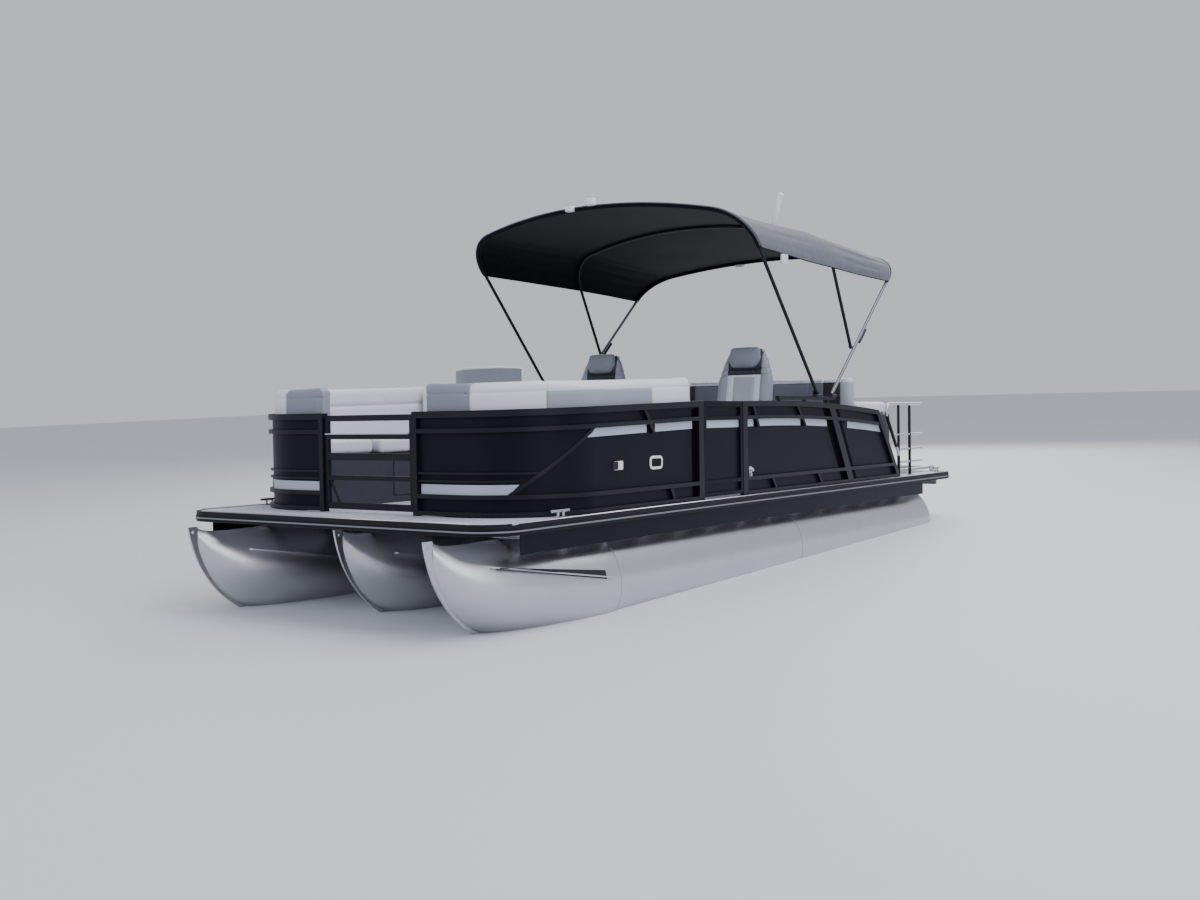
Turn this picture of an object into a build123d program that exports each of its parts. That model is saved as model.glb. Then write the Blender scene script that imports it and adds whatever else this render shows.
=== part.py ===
"""A tritoon pleasure boat: three aluminium tubes under a fenced deck with lounges, a helm,
a folding canvas top and an outboard motor. Millimetres, +X to the bow, +Y to port, +Z up.
The origin is on the waterline, amidships, on the centreline."""
from math import atan2, cos, hypot, radians, sin, tan
import os

from build123d import *

os.makedirs("parts", exist_ok=True)

# Deck platform
deck_length = 6440
deck_width = 2590
deck_top = 510
deck_thickness = 25
deck_front_radius = 229
deck_aft_radius = 130
insert_proud = 5
rub_rail_thickness = 28
rub_rail_height = 62
insert_height = 24
insert_drop = 25
skirt_height = 106
skirt_thickness = 4
skirt_inset = 20
skirt_aft_x = -2530
member_height = 76
member_width = 40
member_wall = 4
member_pitch = 406
member_setback = 410
member_count = 15
motor_notch_half = 430
motor_notch_front_x = -2330

# Tubes
tube_radius = 317.5
tube_spacing = 970
tube_z = 88.5
cone_seam_x = 2083
mid_seam_x = -214
tube_aft_x = -2666
centre_setback = 278
seam_proud = 3
seam_width = 14
keel_thickness = 14
keel_proud = 18
bracket_half_width = 45

# Fence
fence_front_x = 2860
fence_side_y = 1255
fence_corner_radius = 600
fence_depth = 25
fence_slope = 1.52
fence_front_top = 1108
top_rail_height = 38
rail_height = 25
second_rail_drop = 100
low_rail_top = 637
floor_rail_gap = 6
panel_thickness = 4
panel_gap = 0.5
bow_post_y = 375
bow_post_width = 35
gate_post_width = 62
gate_front_x = 1091
gate_aft_x = 583
gate_gap = 8
fence_mid_top = 1153
fence_late_x = -650
fence_late_top = 1140
fence_end_x = -1660
fence_end_top = 1081
fence_foot_x = -2100
end_post_width = 60

# Seats
base_inset = 12
seat_base_height = 330
seat_pad_thickness = 105
back_thickness = 120
seat_gap = 8

# Helm and chairs
chair_x = -230
chair_y = 680

# Running fit of every pin and shaft
pin_clearance = 0.05

# Gate hinges: a rod up the gate's edge, turning in lugs on the post
gate_thickness = 22
gate_swing_gap = 6
hinge_rod = 3
lug_reach = gate_swing_gap
lug_arm = 10
lug_thickness = 6
lug_slot = 12

# Canvas top
bow_tube = 25.4
bow_half_width = 1250
bow_corner_radius = 330
bow_corner_turn = 75
canvas_offset = 20
canvas_thickness = 6
canvas_edge_drop = 35

# Outboard
tilt_x = -2935
tilt_z = 415
transom_x = -2900
transom_top = 385
steer_x = -3020
prop_z = -420


def write_piece(piece, label):
    """Label a finished piece and write it to the parts folder."""
    piece.label = label
    export_step(piece, "parts/" + label + ".step")


def across(x, y=0, z=0):
    """A plane across the boat at x: its own x is +Y and its own y is +Z."""
    return Plane(origin=(x, y, z), x_dir=(0, 1, 0), z_dir=(1, 0, 0))


def along(y=0, x=0, z=0):
    """A plane along the boat at y: its own x is +X and its own y is +Z."""
    return Plane(origin=(x, y, z), x_dir=(1, 0, 0), z_dir=(0, -1, 0))


# Deck platform: one outline, stepped in, gives deck, rail and insert
def deck_outline(inset):
    """The deck's plan outline, stepped in by inset."""
    with BuildSketch() as outline:
        Rectangle(deck_length - 2 * inset, deck_width - 2 * inset)
        fillet(outline.vertices().group_by(Axis.X)[-1], deck_front_radius - inset)
        fillet(outline.vertices().group_by(Axis.X)[0], deck_aft_radius - inset)
    return outline.sketch


def motor_notch(bottom, top, margin=0):
    """The space cut out of the stern for the motor."""
    length = motor_notch_front_x + margin + deck_length
    centre = motor_notch_front_x + margin - length / 2
    height = top - bottom
    with Locations((centre, 0, bottom + height / 2)):
        Box(length, 2 * (motor_notch_half + margin), height, mode=Mode.SUBTRACT)


deck_inset = insert_proud + rub_rail_thickness
with BuildPart() as deck:
    with BuildSketch(Plane.XY.offset(deck_top - deck_thickness)):
        add(deck_outline(deck_inset))
    extrude(amount=deck_thickness)
    motor_notch(0, 2 * deck_top)
write_piece(deck.part, "deck")

with BuildPart() as rub_rail:
    with BuildSketch(Plane.XY.offset(deck_top + 2 - rub_rail_height)):
        add(deck_outline(insert_proud))
        add(deck_outline(deck_inset), mode=Mode.SUBTRACT)
    extrude(amount=rub_rail_height)
    motor_notch(0, 2 * deck_top)
write_piece(rub_rail.part, "rub_rail")

with BuildPart() as rub_insert:
    with BuildSketch(Plane.XY.offset(deck_top - insert_drop - insert_height)):
        add(deck_outline(0))
        add(deck_outline(insert_proud), mode=Mode.SUBTRACT)
    extrude(amount=insert_height)
    motor_notch(0, 2 * deck_top)
write_piece(rub_insert.part, "rub_insert")

skirt_top = deck_top + 2 - rub_rail_height
skirt_front_x = deck_length / 2 - deck_front_radius
skirt_y = deck_width / 2 - skirt_inset
with BuildPart() as side_skirts:
    with Locations(
        ((skirt_front_x + skirt_aft_x) / 2, skirt_y, skirt_top - skirt_height / 2),
        ((skirt_front_x + skirt_aft_x) / 2, -skirt_y, skirt_top - skirt_height / 2),
    ):
        Box(skirt_front_x - skirt_aft_x, skirt_thickness, skirt_height)
write_piece(side_skirts.part, "side_skirts")

deck_underside = deck_top - deck_thickness
member_half_length = deck_width / 2 - deck_inset - 1
with BuildPart() as crossmembers:
    for number in range(member_count):
        member_x = deck_length / 2 - member_setback - number * member_pitch
        with BuildSketch(along(member_half_length, member_x, deck_underside - member_height / 2)):
            Rectangle(member_width, member_height)
            with Locations((member_wall, 0)):
                Rectangle(member_width, member_height - 2 * member_wall, mode=Mode.SUBTRACT)
        extrude(amount=2 * member_half_length)
    motor_notch(0, 2 * deck_top, 20)
write_piece(crossmembers.part, "crossmembers")

# Tubes: nose sections as x ahead of the seam, top, bottom, half width
nose_sections = [
    (0, tube_z + tube_radius, tube_z - tube_radius, tube_radius),
    (420, 402, -195, 306),
    (770, 400, -128, 250),
    (1047, 396, -14, 148),
    (1190, 405, 150, 60),
    (1255, 426, 300, 12),
]
# Keel plate: outer edge and, 45 mm in, the edge buried in the cone
keel_outer = [(517, -188), (1047, -32), (1247, 205), (1290, 310), (1320, 434)]
keel_inner = [(517, -140), (1000, 30), (1190, 230), (1235, 320), (1255, 434)]
strake_front = (985, 280)
strake_aft = (90, 137)


def pontoon(tube_y, setback, label):
    """One tube with its nose cone, keel plate, spray strakes, weld rings and top bracket."""
    seam_x = cone_seam_x - setback
    with BuildPart() as tube:
        for ahead, top, bottom, half in nose_sections:
            middle = (top + bottom) / 2
            with BuildSketch(across(seam_x + ahead, tube_y)):
                with BuildLine():
                    ThreePointArc((0, top), (half, middle), (0, bottom))
                    ThreePointArc((0, bottom), (-half, middle), (0, top))
                make_face()
        loft()
        with BuildSketch(across(tube_aft_x, tube_y, tube_z)):
            Circle(tube_radius)
        extrude(amount=seam_x - tube_aft_x)
        for ring_x in (seam_x, mid_seam_x):
            with BuildSketch(across(ring_x - seam_width / 2, tube_y, tube_z)):
                Circle(tube_radius + seam_proud)
            extrude(amount=seam_width)
        with BuildSketch(along(tube_y, seam_x)):
            with BuildLine():
                ThreePointArc(keel_outer[0], keel_outer[1], keel_outer[2])
                ThreePointArc(keel_outer[2], keel_outer[3], keel_outer[4])
                Line(keel_outer[4], keel_inner[4])
                ThreePointArc(keel_inner[4], keel_inner[3], keel_inner[2])
                ThreePointArc(keel_inner[2], keel_inner[1], keel_inner[0])
                Line(keel_inner[0], keel_outer[0])
            make_face()
            with Locations((keel_outer[4][0] - 30, keel_outer[4][1] - 32)):
                Circle(9, mode=Mode.SUBTRACT)
        extrude(amount=keel_thickness / 2, both=True)
        strake_length = hypot(strake_front[0] - strake_aft[0], strake_front[1] - strake_aft[1])
        strake_pitch = atan2(strake_front[1] - strake_aft[1], strake_front[0] - strake_aft[0])
        strake_plane = Plane(
            origin=(seam_x + strake_aft[0], tube_y, strake_aft[1]),
            x_dir=(cos(strake_pitch), 0, sin(strake_pitch)),
            z_dir=(-sin(strake_pitch), 0, cos(strake_pitch)),
        )
        with BuildSketch(strake_plane):
            with BuildLine():
                ThreePointArc((0, 338), (strake_length * 0.55, 300), (strake_length, 182))
                Line((strake_length, 182), (strake_length, -182))
                ThreePointArc((strake_length, -182), (strake_length * 0.55, -300), (0, -338))
                Line((0, -338), (0, 338))
            make_face()
        extrude(amount=4, both=True)
        bracket_length = seam_x - tube_aft_x - 60
        bracket_top = deck_underside - member_height
        bracket_low = tube_z + tube_radius - 25
        with Locations((seam_x - 30 - bracket_length / 2, tube_y, (bracket_top + bracket_low) / 2)):
            Box(bracket_length, 2 * bracket_half_width, bracket_top - bracket_low)
        keel_low = tube_z - tube_radius - keel_proud
        with Locations(((seam_x + tube_aft_x) / 2, tube_y, keel_low + 20)):
            Box(seam_x - tube_aft_x, keel_thickness, 40)
    write_piece(tube.part, label)


for tube_y, setback, label in (
    (tube_spacing, 0, "port_tube"),
    (-tube_spacing, 0, "starboard_tube"),
    (0, centre_setback, "centre_tube"),
):
    pontoon(tube_y, setback, label)

with BuildPart() as motor_pod:
    with BuildSketch(along(240)):
        with BuildLine():
            Polyline(
                (tube_aft_x, 330), (tube_aft_x, -180), (tube_aft_x - 60, -205), (transom_x, -80),
                (transom_x, transom_top), (transom_x + 50, transom_top), (transom_x + 50, 300),
                (tube_aft_x, 330),
            )
        make_face()
    extrude(amount=480)
    fillet(motor_pod.edges().filter_by(Axis.X).sort_by(Axis.Z)[:2], 30)
write_piece(motor_pod.part, "motor_pod")


# Fence: strips that follow the bow from the gate post round the corner
def bow_strip(side, inset, depth, end_x, start_y=bow_post_y + bow_post_width):
    """Plan outline of a strip, its x counted from the fence's front face."""
    outer = fence_corner_radius - inset
    inner = outer - depth
    centre_x = -fence_corner_radius
    centre_y = fence_side_y - fence_corner_radius
    half = cos(radians(45))
    tail = end_x - fence_front_x
    with BuildSketch() as strip:
        with BuildLine():
            Line((-inset, side * start_y), (-inset, side * centre_y))
            ThreePointArc(
                (-inset, side * centre_y),
                (centre_x + outer * half, side * (centre_y + outer * half)),
                (centre_x, side * (centre_y + outer)),
            )
            Line((centre_x, side * (centre_y + outer)), (tail, side * (centre_y + outer)))
            Line((tail, side * (centre_y + outer)), (tail, side * (centre_y + inner)))
            Line((tail, side * (centre_y + inner)), (centre_x, side * (centre_y + inner)))
            ThreePointArc(
                (centre_x, side * (centre_y + inner)),
                (centre_x + inner * half, side * (centre_y + inner * half)),
                (-inset - depth, side * centre_y),
            )
            Line((-inset - depth, side * centre_y), (-inset - depth, side * start_y))
            Line((-inset - depth, side * start_y), (-inset, side * start_y))
        make_face()
    return strip.sketch


slope = radians(fence_slope)


def fence_plane(height):
    """The plane, rising aft, that the fence's upper rails lie in, at a height over the front."""
    return Plane(
        origin=(fence_front_x, 0, height),
        x_dir=(cos(slope), 0, -sin(slope)),
        z_dir=(sin(slope), 0, cos(slope)),
    )


def add_lugs(x, y, post_x, post_y, heights, arm=lug_arm):
    """Lugs on a post, each a round end with the rod's bore and an arm back to the post."""
    for height in heights:
        with BuildSketch(Plane(origin=(x, y, height - lug_thickness / 2))) as lug:
            Circle(lug_reach)
            with Locations(((post_x - x) / 2, (post_y - y) / 2)):
                Rectangle(max(abs(post_x - x), arm), max(abs(post_y - y), arm))
            Circle(hinge_rod + pin_clearance, mode=Mode.SUBTRACT)
        extrude(lug.sketch, amount=lug_thickness)


def add_ribs(ribs, side):
    """Slanted ribs on the skin, each given by its x at its low and high end and those heights."""
    for low_x, high_x, low, high in ribs:
        with BuildSketch(along(side * (fence_side_y - 4))) as rib:
            with BuildLine():
                Polyline(
                    (low_x - rib_width / 2, low), (low_x + rib_width / 2, low),
                    (high_x + rib_width / 2, high), (high_x - rib_width / 2, high), close=True,
                )
            make_face()
        extrude(rib.sketch, amount=side * (fence_depth - 4))


floor_rail_low = deck_top + floor_rail_gap
rib_width = 28
lug_low = 600
bow_lug_heights = (lug_low, 1010)
side_lug_heights = (lug_low, 1085)
stern_lug_heights = (lug_low, 960)
bow_gate_x = fence_front_x - fence_depth / 2 - 14
bow_hinge = (bow_gate_x - gate_thickness / 2, -(bow_post_y - gate_swing_gap))
side_hinge = (gate_front_x - gate_swing_gap, fence_side_y - fence_depth / 2 - gate_thickness / 2)
end_x = gate_front_x
for side, label in ((1, "port_bow"), (-1, "starboard_bow")):
    with BuildPart() as bow_fence:
        for height, rail in (
            (fence_front_top - top_rail_height, top_rail_height),
            (fence_front_top - second_rail_drop - rail_height, rail_height),
        ):
            with BuildSketch(fence_plane(height)):
                add(bow_strip(side, 0, fence_depth, end_x))
            extrude(amount=rail)
        for low in (floor_rail_low, low_rail_top - rail_height):
            with BuildSketch(Plane(origin=(fence_front_x, 0, low))):
                add(bow_strip(side, 0, fence_depth, end_x))
            extrude(amount=rail_height)
        post_height = fence_front_top - deck_top
        with Locations((
            fence_front_x - fence_depth / 2 - 10,
            side * (bow_post_y + bow_post_width / 2),
            deck_top + post_height / 2,
        )):
            Box(fence_depth + 20, bow_post_width, post_height)
        side_height = fence_mid_top - deck_top - 4
        with Locations((
            end_x + gate_post_width / 2,
            side * (fence_side_y - fence_depth / 2),
            deck_top + side_height / 2,
        )):
            Box(gate_post_width, fence_depth, side_height)
        add_ribs([(1665, 1765, 960, 1110), (1435, 1480, 530, 620)], side)
        if side > 0:
            add_lugs(*side_hinge, gate_front_x + 2, side_hinge[1], side_lug_heights, lug_arm * 0.3)
        else:
            add_lugs(*bow_hinge, bow_hinge[0], -bow_post_y - 2, bow_lug_heights)
    write_piece(bow_fence.part, label + "_fence")

with BuildPart() as bow_panels:
    for side in (1, -1):
        with BuildSketch(Plane(origin=(fence_front_x, 0, floor_rail_low))):
            add(bow_strip(side, fence_depth + panel_gap, panel_thickness, end_x, bow_post_y + bow_post_width + 6))
        extrude(amount=700)
    split(bisect_by=fence_plane(fence_front_top - 6), keep=Keep.BOTTOM)
write_piece(bow_panels.part, "bow_panels")


# Fence from the side gate to the stern: outlines in the boat's side view
def fence_top_arc(drop):
    """The arched line of the top rail, lowered by drop."""
    return ThreePointArc(
        (gate_aft_x, fence_mid_top - drop),
        (fence_late_x, fence_late_top - drop),
        (fence_end_x, fence_end_top - drop),
    )


def end_slant(z):
    """Where the fence's slanted aft end is at a height."""
    share = (z - deck_top) / (fence_end_top - deck_top)
    return fence_foot_x + share * (fence_end_x - fence_foot_x)


aft_fence_starts = {1: gate_aft_x, -1: gate_front_x - gate_gap}
slant_bar = [(-735, 1120), (-830, 1120), (-1180, floor_rail_low), (-1085, floor_rail_low)]
for side, label in ((1, "port_aft"), (-1, "starboard_aft")):
    start_x = aft_fence_starts[side]
    outer_y = side * fence_side_y
    inward = side
    with BuildPart() as aft_fence:
        for drop, rail in ((0, top_rail_height), (second_rail_drop, rail_height)):
            with BuildSketch(along(outer_y)):
                with BuildLine():
                    upper = fence_top_arc(drop)
                    lower = fence_top_arc(drop + rail)
                    Line(upper @ 1, lower @ 1)
                    Line(lower @ 0, upper @ 0)
                make_face()
            extrude(amount=inward * fence_depth)
        if start_x > gate_aft_x:
            for low, rail in (
                (fence_mid_top - top_rail_height, top_rail_height),
                (fence_mid_top - second_rail_drop - rail_height, rail_height),
            ):
                with BuildSketch(along(outer_y)):
                    with BuildLine():
                        Polyline(
                            (start_x, low), (start_x, low + rail), (gate_aft_x, low + rail),
                            (gate_aft_x, low), (start_x, low),
                        )
                    make_face()
                extrude(amount=inward * fence_depth)
        for low in (floor_rail_low, low_rail_top - rail_height):
            with BuildSketch(along(outer_y)):
                with BuildLine():
                    Polyline(
                        (start_x, low), (start_x, low + rail_height),
                        (end_slant(low + rail_height), low + rail_height), (end_slant(low), low),
                        (start_x, low),
                    )
                make_face()
            extrude(amount=inward * fence_depth)
        with BuildSketch(along(outer_y)):
            with BuildLine():
                Polyline(*slant_bar, close=True)
            make_face()
        extrude(amount=inward * fence_depth)
        with BuildSketch(along(outer_y)):
            with BuildLine():
                Polyline(
                    (fence_foot_x, deck_top), (fence_foot_x + end_post_width, deck_top),
                    (fence_end_x + end_post_width, fence_end_top - 2), (fence_end_x, fence_end_top - 2),
                    (fence_foot_x, deck_top),
                )
            make_face()
        extrude(amount=inward * fence_depth)
        post_height = fence_mid_top - deck_top - 4
        with Locations((
            start_x - gate_post_width / 2,
            side * (fence_side_y - fence_depth / 2),
            deck_top + post_height / 2,
        )):
            Box(gate_post_width, fence_depth, post_height)
        add_ribs([
            (350, 430, 975, 1130), (-360, -230, 970, 1120), (100, 165, 530, 620), (-625, -550, 530, 620),
        ], side)
    write_piece(aft_fence.part, label + "_fence")

with BuildPart() as aft_panels:
    for side, start_x in aft_fence_starts.items():
        panel_y = side * (fence_side_y - fence_depth - panel_gap)
        with BuildSketch(along(panel_y)):
            with BuildLine():
                top_line = fence_top_arc(8)
                Polyline(
                    top_line @ 1, (end_slant(floor_rail_low) + 10, floor_rail_low),
                    (gate_aft_x, floor_rail_low), top_line @ 0,
                )
            make_face()
            with Locations(((start_x + gate_aft_x) / 2 - 5, (floor_rail_low + fence_mid_top - 8) / 2)):
                Rectangle(start_x - gate_aft_x + 10, fence_mid_top - 8 - floor_rail_low)
        extrude(amount=side * panel_thickness)
write_piece(aft_panels.part, "aft_panels")


# Gates: frames of square bar, each bar given by its low edge and height
def cut_lug_slots(x, y, heights):
    """Room in a gate's edge for the lugs, round the hinge line."""
    for height in heights:
        with BuildSketch(Plane(origin=(x, y, height - lug_slot / 2))) as slot:
            Circle(lug_reach + 2)
        extrude(slot.sketch, amount=lug_slot, mode=Mode.SUBTRACT)


def add_hinge_rod(x, y, low, high):
    """The rod on the hinge line."""
    with BuildSketch(Plane(origin=(x, y, low))) as rod:
        Circle(hinge_rod)
    extrude(rod.sketch, amount=high - low)


def gate_bars(bars, from_a, to_a, fixed, thickness, lengthwise):
    """Bars of a gate between two ends, lengthwise or across the boat."""
    for low, height in bars:
        middle = (from_a + to_a) / 2
        length = abs(to_a - from_a)
        if lengthwise:
            with Locations((middle, fixed, low + height / 2)):
                Box(length, thickness, height)
        else:
            with Locations((fixed, middle, low + height / 2)):
                Box(thickness, length, height)


bow_gate_half = bow_post_y - gate_swing_gap
bow_gate_bars = [(530, 40), (705, 28), (825, 42), (950, 34), (1058, 36)]
with BuildPart() as bow_gate:
    gate_bars(bow_gate_bars, -bow_gate_half, bow_gate_half, bow_gate_x, gate_thickness, False)
    for end in (-1, 1):
        with Locations((bow_gate_x, end * (bow_gate_half - 14), 812)):
            Box(gate_thickness, 28, 564)
    with BuildSketch(across(bow_gate_x - 5)):
        with BuildLine():
            Polyline(
                (-bow_gate_half + 20, 720), (-bow_gate_half + 44, 720),
                (-bow_gate_half + 134, 550), (-bow_gate_half + 110, 550), close=True,
            )
        make_face()
    extrude(amount=10)
    cut_lug_slots(*bow_hinge, bow_lug_heights)
    add_hinge_rod(*bow_hinge, 534, 1090)
write_piece(bow_gate.part, "bow_gate")

side_gate_y = fence_side_y - fence_depth / 2
side_gate_low = gate_aft_x + gate_swing_gap
side_gate_high = gate_front_x - gate_swing_gap
side_gate_bars = [
    (530, rail_height), (low_rail_top - rail_height, rail_height),
    (fence_mid_top - second_rail_drop - rail_height, rail_height),
    (fence_mid_top - top_rail_height, top_rail_height),
]
with BuildPart() as side_gate:
    gate_bars(side_gate_bars, side_gate_low, side_gate_high, side_gate_y, gate_thickness, True)
    for end_x in (side_gate_low + 14, side_gate_high - 14):
        with Locations((end_x, side_gate_y, (530 + fence_mid_top) / 2)):
            Box(28, gate_thickness, fence_mid_top - 530)
    with Locations(((side_gate_low + side_gate_high) / 2, side_gate_y - 8, (536 + fence_mid_top) / 2)):
        Box(side_gate_high - side_gate_low - 8, panel_thickness, fence_mid_top - 550)
    cut_lug_slots(*side_hinge, side_lug_heights)
    add_hinge_rod(*side_hinge, 534, fence_mid_top - 4)
write_piece(side_gate.part, "side_gate")

# Stern gate, between the sunpad and the starboard fence
stern_gate_x = -2050
stern_gate_inner_y = -440
stern_post = 30
stern_gate_outer_y = -1175
stern_gate_top = 1040
stern_bars = [(530, 30), (700, 22), (860, 22), (1010, 30)]
with BuildPart() as stern_gate:
    near_y = stern_gate_inner_y - stern_post - gate_swing_gap
    far_y = stern_gate_outer_y + stern_post + gate_swing_gap
    gate_bars(stern_bars, near_y, far_y, stern_gate_x, gate_thickness, False)
    for end_y in (near_y - 12, far_y + 12):
        with Locations((stern_gate_x, end_y, (530 + stern_gate_top) / 2)):
            Box(gate_thickness, 24, stern_gate_top - 530)
    stern_hinge = (stern_gate_x + gate_thickness / 2, near_y)
    cut_lug_slots(*stern_hinge, stern_lug_heights)
    add_hinge_rod(*stern_hinge, 534, stern_gate_top - 4)
write_piece(stern_gate.part, "stern_gate")

# Stern rails: bent tube with two uprights and three bars, one on each side
rail_tube = 25
stern_rail_y = 1195
stern_rail_top = 1130
stern_rail_bend = 700
stern_rail_end_x = -2715
stern_rail_knee_x = -1880
stern_upright_x = (-2200, -2440)
stern_bar_heights = (868, 742, 632)
with BuildPart() as stern_rails:
    for side in (1, -1):
        rail_y = side * stern_rail_y
        with BuildLine(along(rail_y)) as rail_path:
            FilletPolyline(
                (stern_rail_end_x, stern_rail_top), (stern_rail_knee_x, stern_rail_top),
                (stern_upright_x[0], stern_rail_bend), (stern_upright_x[0], deck_top),
                radius=70,
            )
        with BuildSketch(across(stern_rail_end_x, rail_y, stern_rail_top)):
            Circle(rail_tube / 2)
        sweep(path=rail_path.wires()[0])
        with BuildSketch(Plane(origin=(stern_upright_x[1], rail_y, deck_top))):
            Circle(rail_tube / 2 - 1)
        extrude(amount=stern_rail_top - deck_top)
        for upright_x in stern_upright_x:
            with Locations((upright_x, rail_y, deck_top + 4)):
                Cylinder(32, 8)
        for bar_z in stern_bar_heights:
            lean = max(bar_z - stern_rail_bend, 0) * (stern_rail_knee_x - stern_upright_x[0])
            bar_end_x = stern_upright_x[0] + lean / (stern_rail_top - stern_rail_bend)
            with BuildSketch(across(stern_rail_end_x, rail_y, bar_z)):
                Circle(rail_tube / 2 - 3)
            extrude(amount=bar_end_x - stern_rail_end_x)
    for post_y in (stern_gate_inner_y - stern_post / 2, stern_gate_outer_y + stern_post / 2):
        with Locations((stern_gate_x, post_y, (deck_top + stern_gate_top) / 2)):
            Box(stern_post, stern_post, stern_gate_top - deck_top)
    add_lugs(*stern_hinge, stern_hinge[0], stern_gate_inner_y - stern_post + 2, stern_lug_heights)
write_piece(stern_rails.part, "stern_rails")

# Lounges: base, back and hinged seat follow the fence from the same strip outline
base_top = deck_top + seat_base_height
wall_inset = fence_depth + panel_gap + panel_thickness + base_inset
lounge_aft_x = 1160
lounge_inner_y = 560
bolster_depth = 125
back_front_top = 1262
lid_front_x = 2200
seat_inset = wall_inset + back_thickness + seat_gap
seat_back_y = fence_side_y - seat_inset


def bow_seat_outline(side, inset, inner_y, aft_x):
    """Plan outline of a seat that fills the bow corner, its x counted from the fence's front."""
    outer = fence_corner_radius - inset
    centre_y = fence_side_y - fence_corner_radius
    tail = aft_x - fence_front_x
    half = cos(radians(45))
    with BuildSketch() as seat:
        with BuildLine():
            Line((-inset, side * inner_y), (-inset, side * centre_y))
            ThreePointArc(
                (-inset, side * centre_y),
                (-fence_corner_radius + outer * half, side * (centre_y + outer * half)),
                (-fence_corner_radius, side * (centre_y + outer)),
            )
            Line((-fence_corner_radius, side * (centre_y + outer)), (tail, side * (centre_y + outer)))
            Line((tail, side * (centre_y + outer)), (tail, side * inner_y))
            Line((tail, side * inner_y), (-inset, side * inner_y))
        make_face()
    return seat.sketch


with BuildPart() as lounge_bases:
    for side in (1, -1):
        with BuildSketch(Plane(origin=(fence_front_x, 0, deck_top))):
            add(bow_seat_outline(side, wall_inset, lounge_inner_y + 20, lounge_aft_x))
        extrude(amount=seat_base_height)
write_piece(lounge_bases.part, "lounge_bases")

with BuildPart() as lounge_backs:
    for side in (1, -1):
        with BuildSketch(Plane(origin=(fence_front_x, 0, base_top))):
            add(bow_strip(side, wall_inset, back_thickness, lounge_aft_x, bow_post_y + bow_post_width + 8))
        extrude(amount=480)
        with Locations((
            lounge_aft_x + bolster_depth / 2,
            side * (lounge_inner_y + 15 + seat_back_y) / 2,
            base_top + 240,
        )):
            Box(bolster_depth, seat_back_y - lounge_inner_y + 20, 480)
    split(bisect_by=fence_plane(back_front_top), keep=Keep.BOTTOM)
write_piece(lounge_backs.part, "lounge_backs")

lid_aft_x = lounge_aft_x + bolster_depth + seat_gap
for side, label in ((1, "port_seat"), (-1, "starboard_seat")):
    with BuildPart() as lounge_seat:
        with Locations((
            (lid_aft_x + lid_front_x) / 2,
            side * (lounge_inner_y + seat_back_y) / 2,
            base_top + seat_pad_thickness / 2 + 1,
        )):
            Box(lid_front_x - lid_aft_x, seat_back_y - lounge_inner_y, seat_pad_thickness - 2)
        fillet(lounge_seat.edges().group_by(Axis.Z)[-1], 18)
    write_piece(lounge_seat.part, label)

with BuildPart() as corner_seats:
    for side in (1, -1):
        with BuildSketch(Plane(origin=(fence_front_x, 0, base_top))):
            add(bow_seat_outline(side, seat_inset, lounge_inner_y, lid_front_x + seat_gap))
        extrude(amount=seat_pad_thickness)
    fillet(corner_seats.edges().group_by(Axis.Z)[-1], 18)
write_piece(corner_seats.part, "corner_seats")

# Stern bench: base with the higher sunpad behind it
bench_port_y = fence_side_y - wall_inset - 60
bench_starboard_y = -410
bench_front_x = -790
bench_back_x = -1350
bench_back_depth = 120
sunpad_aft_x = -2110
sunpad_base_top = 1045
sunpad_top = 1150
bench_back_top = 1340
bench_width = bench_port_y - bench_starboard_y
bench_middle_y = (bench_port_y + bench_starboard_y) / 2
sunpad_front_x = bench_back_x - bench_back_depth - seat_gap
with BuildPart() as bench_base:
    with BuildSketch(along(bench_port_y)):
        with BuildLine():
            Polyline(
                (bench_front_x - 20, deck_top), (bench_front_x - 20, base_top), (sunpad_front_x, base_top),
                (sunpad_front_x, sunpad_base_top), (sunpad_aft_x, sunpad_base_top),
                (sunpad_aft_x + 30, deck_top), close=True,
            )
        make_face()
    extrude(amount=bench_width)
write_piece(bench_base.part, "bench_base")

with BuildPart() as bench_back:
    with Locations((bench_back_x - bench_back_depth / 2, bench_middle_y, (base_top + bench_back_top) / 2)):
        Box(bench_back_depth, bench_width, bench_back_top - base_top)
    fillet(bench_back.edges().group_by(Axis.Z)[-1], 35)
write_piece(bench_back.part, "bench_back")

bench_hinge_x = bench_back_x + seat_gap
with BuildPart() as bench_seat:
    with Locations((
        (bench_front_x + bench_hinge_x) / 2,
        bench_middle_y,
        base_top + seat_pad_thickness / 2 + 1,
    )):
        Box(bench_front_x - bench_hinge_x, bench_width - 20, seat_pad_thickness - 2)
    fillet(bench_seat.edges().group_by(Axis.Z)[-1], 18)
write_piece(bench_seat.part, "bench_seat")

with BuildPart() as sunpad:
    with Locations((
        (sunpad_front_x - 4 + sunpad_aft_x) / 2,
        bench_middle_y,
        (sunpad_base_top + sunpad_top) / 2,
    )):
        Box(sunpad_front_x - 4 - sunpad_aft_x, bench_width, sunpad_top - sunpad_base_top)
    fillet(sunpad.edges().group_by(Axis.Z)[-1], 40)
write_piece(sunpad.part, "sunpad")

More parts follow.
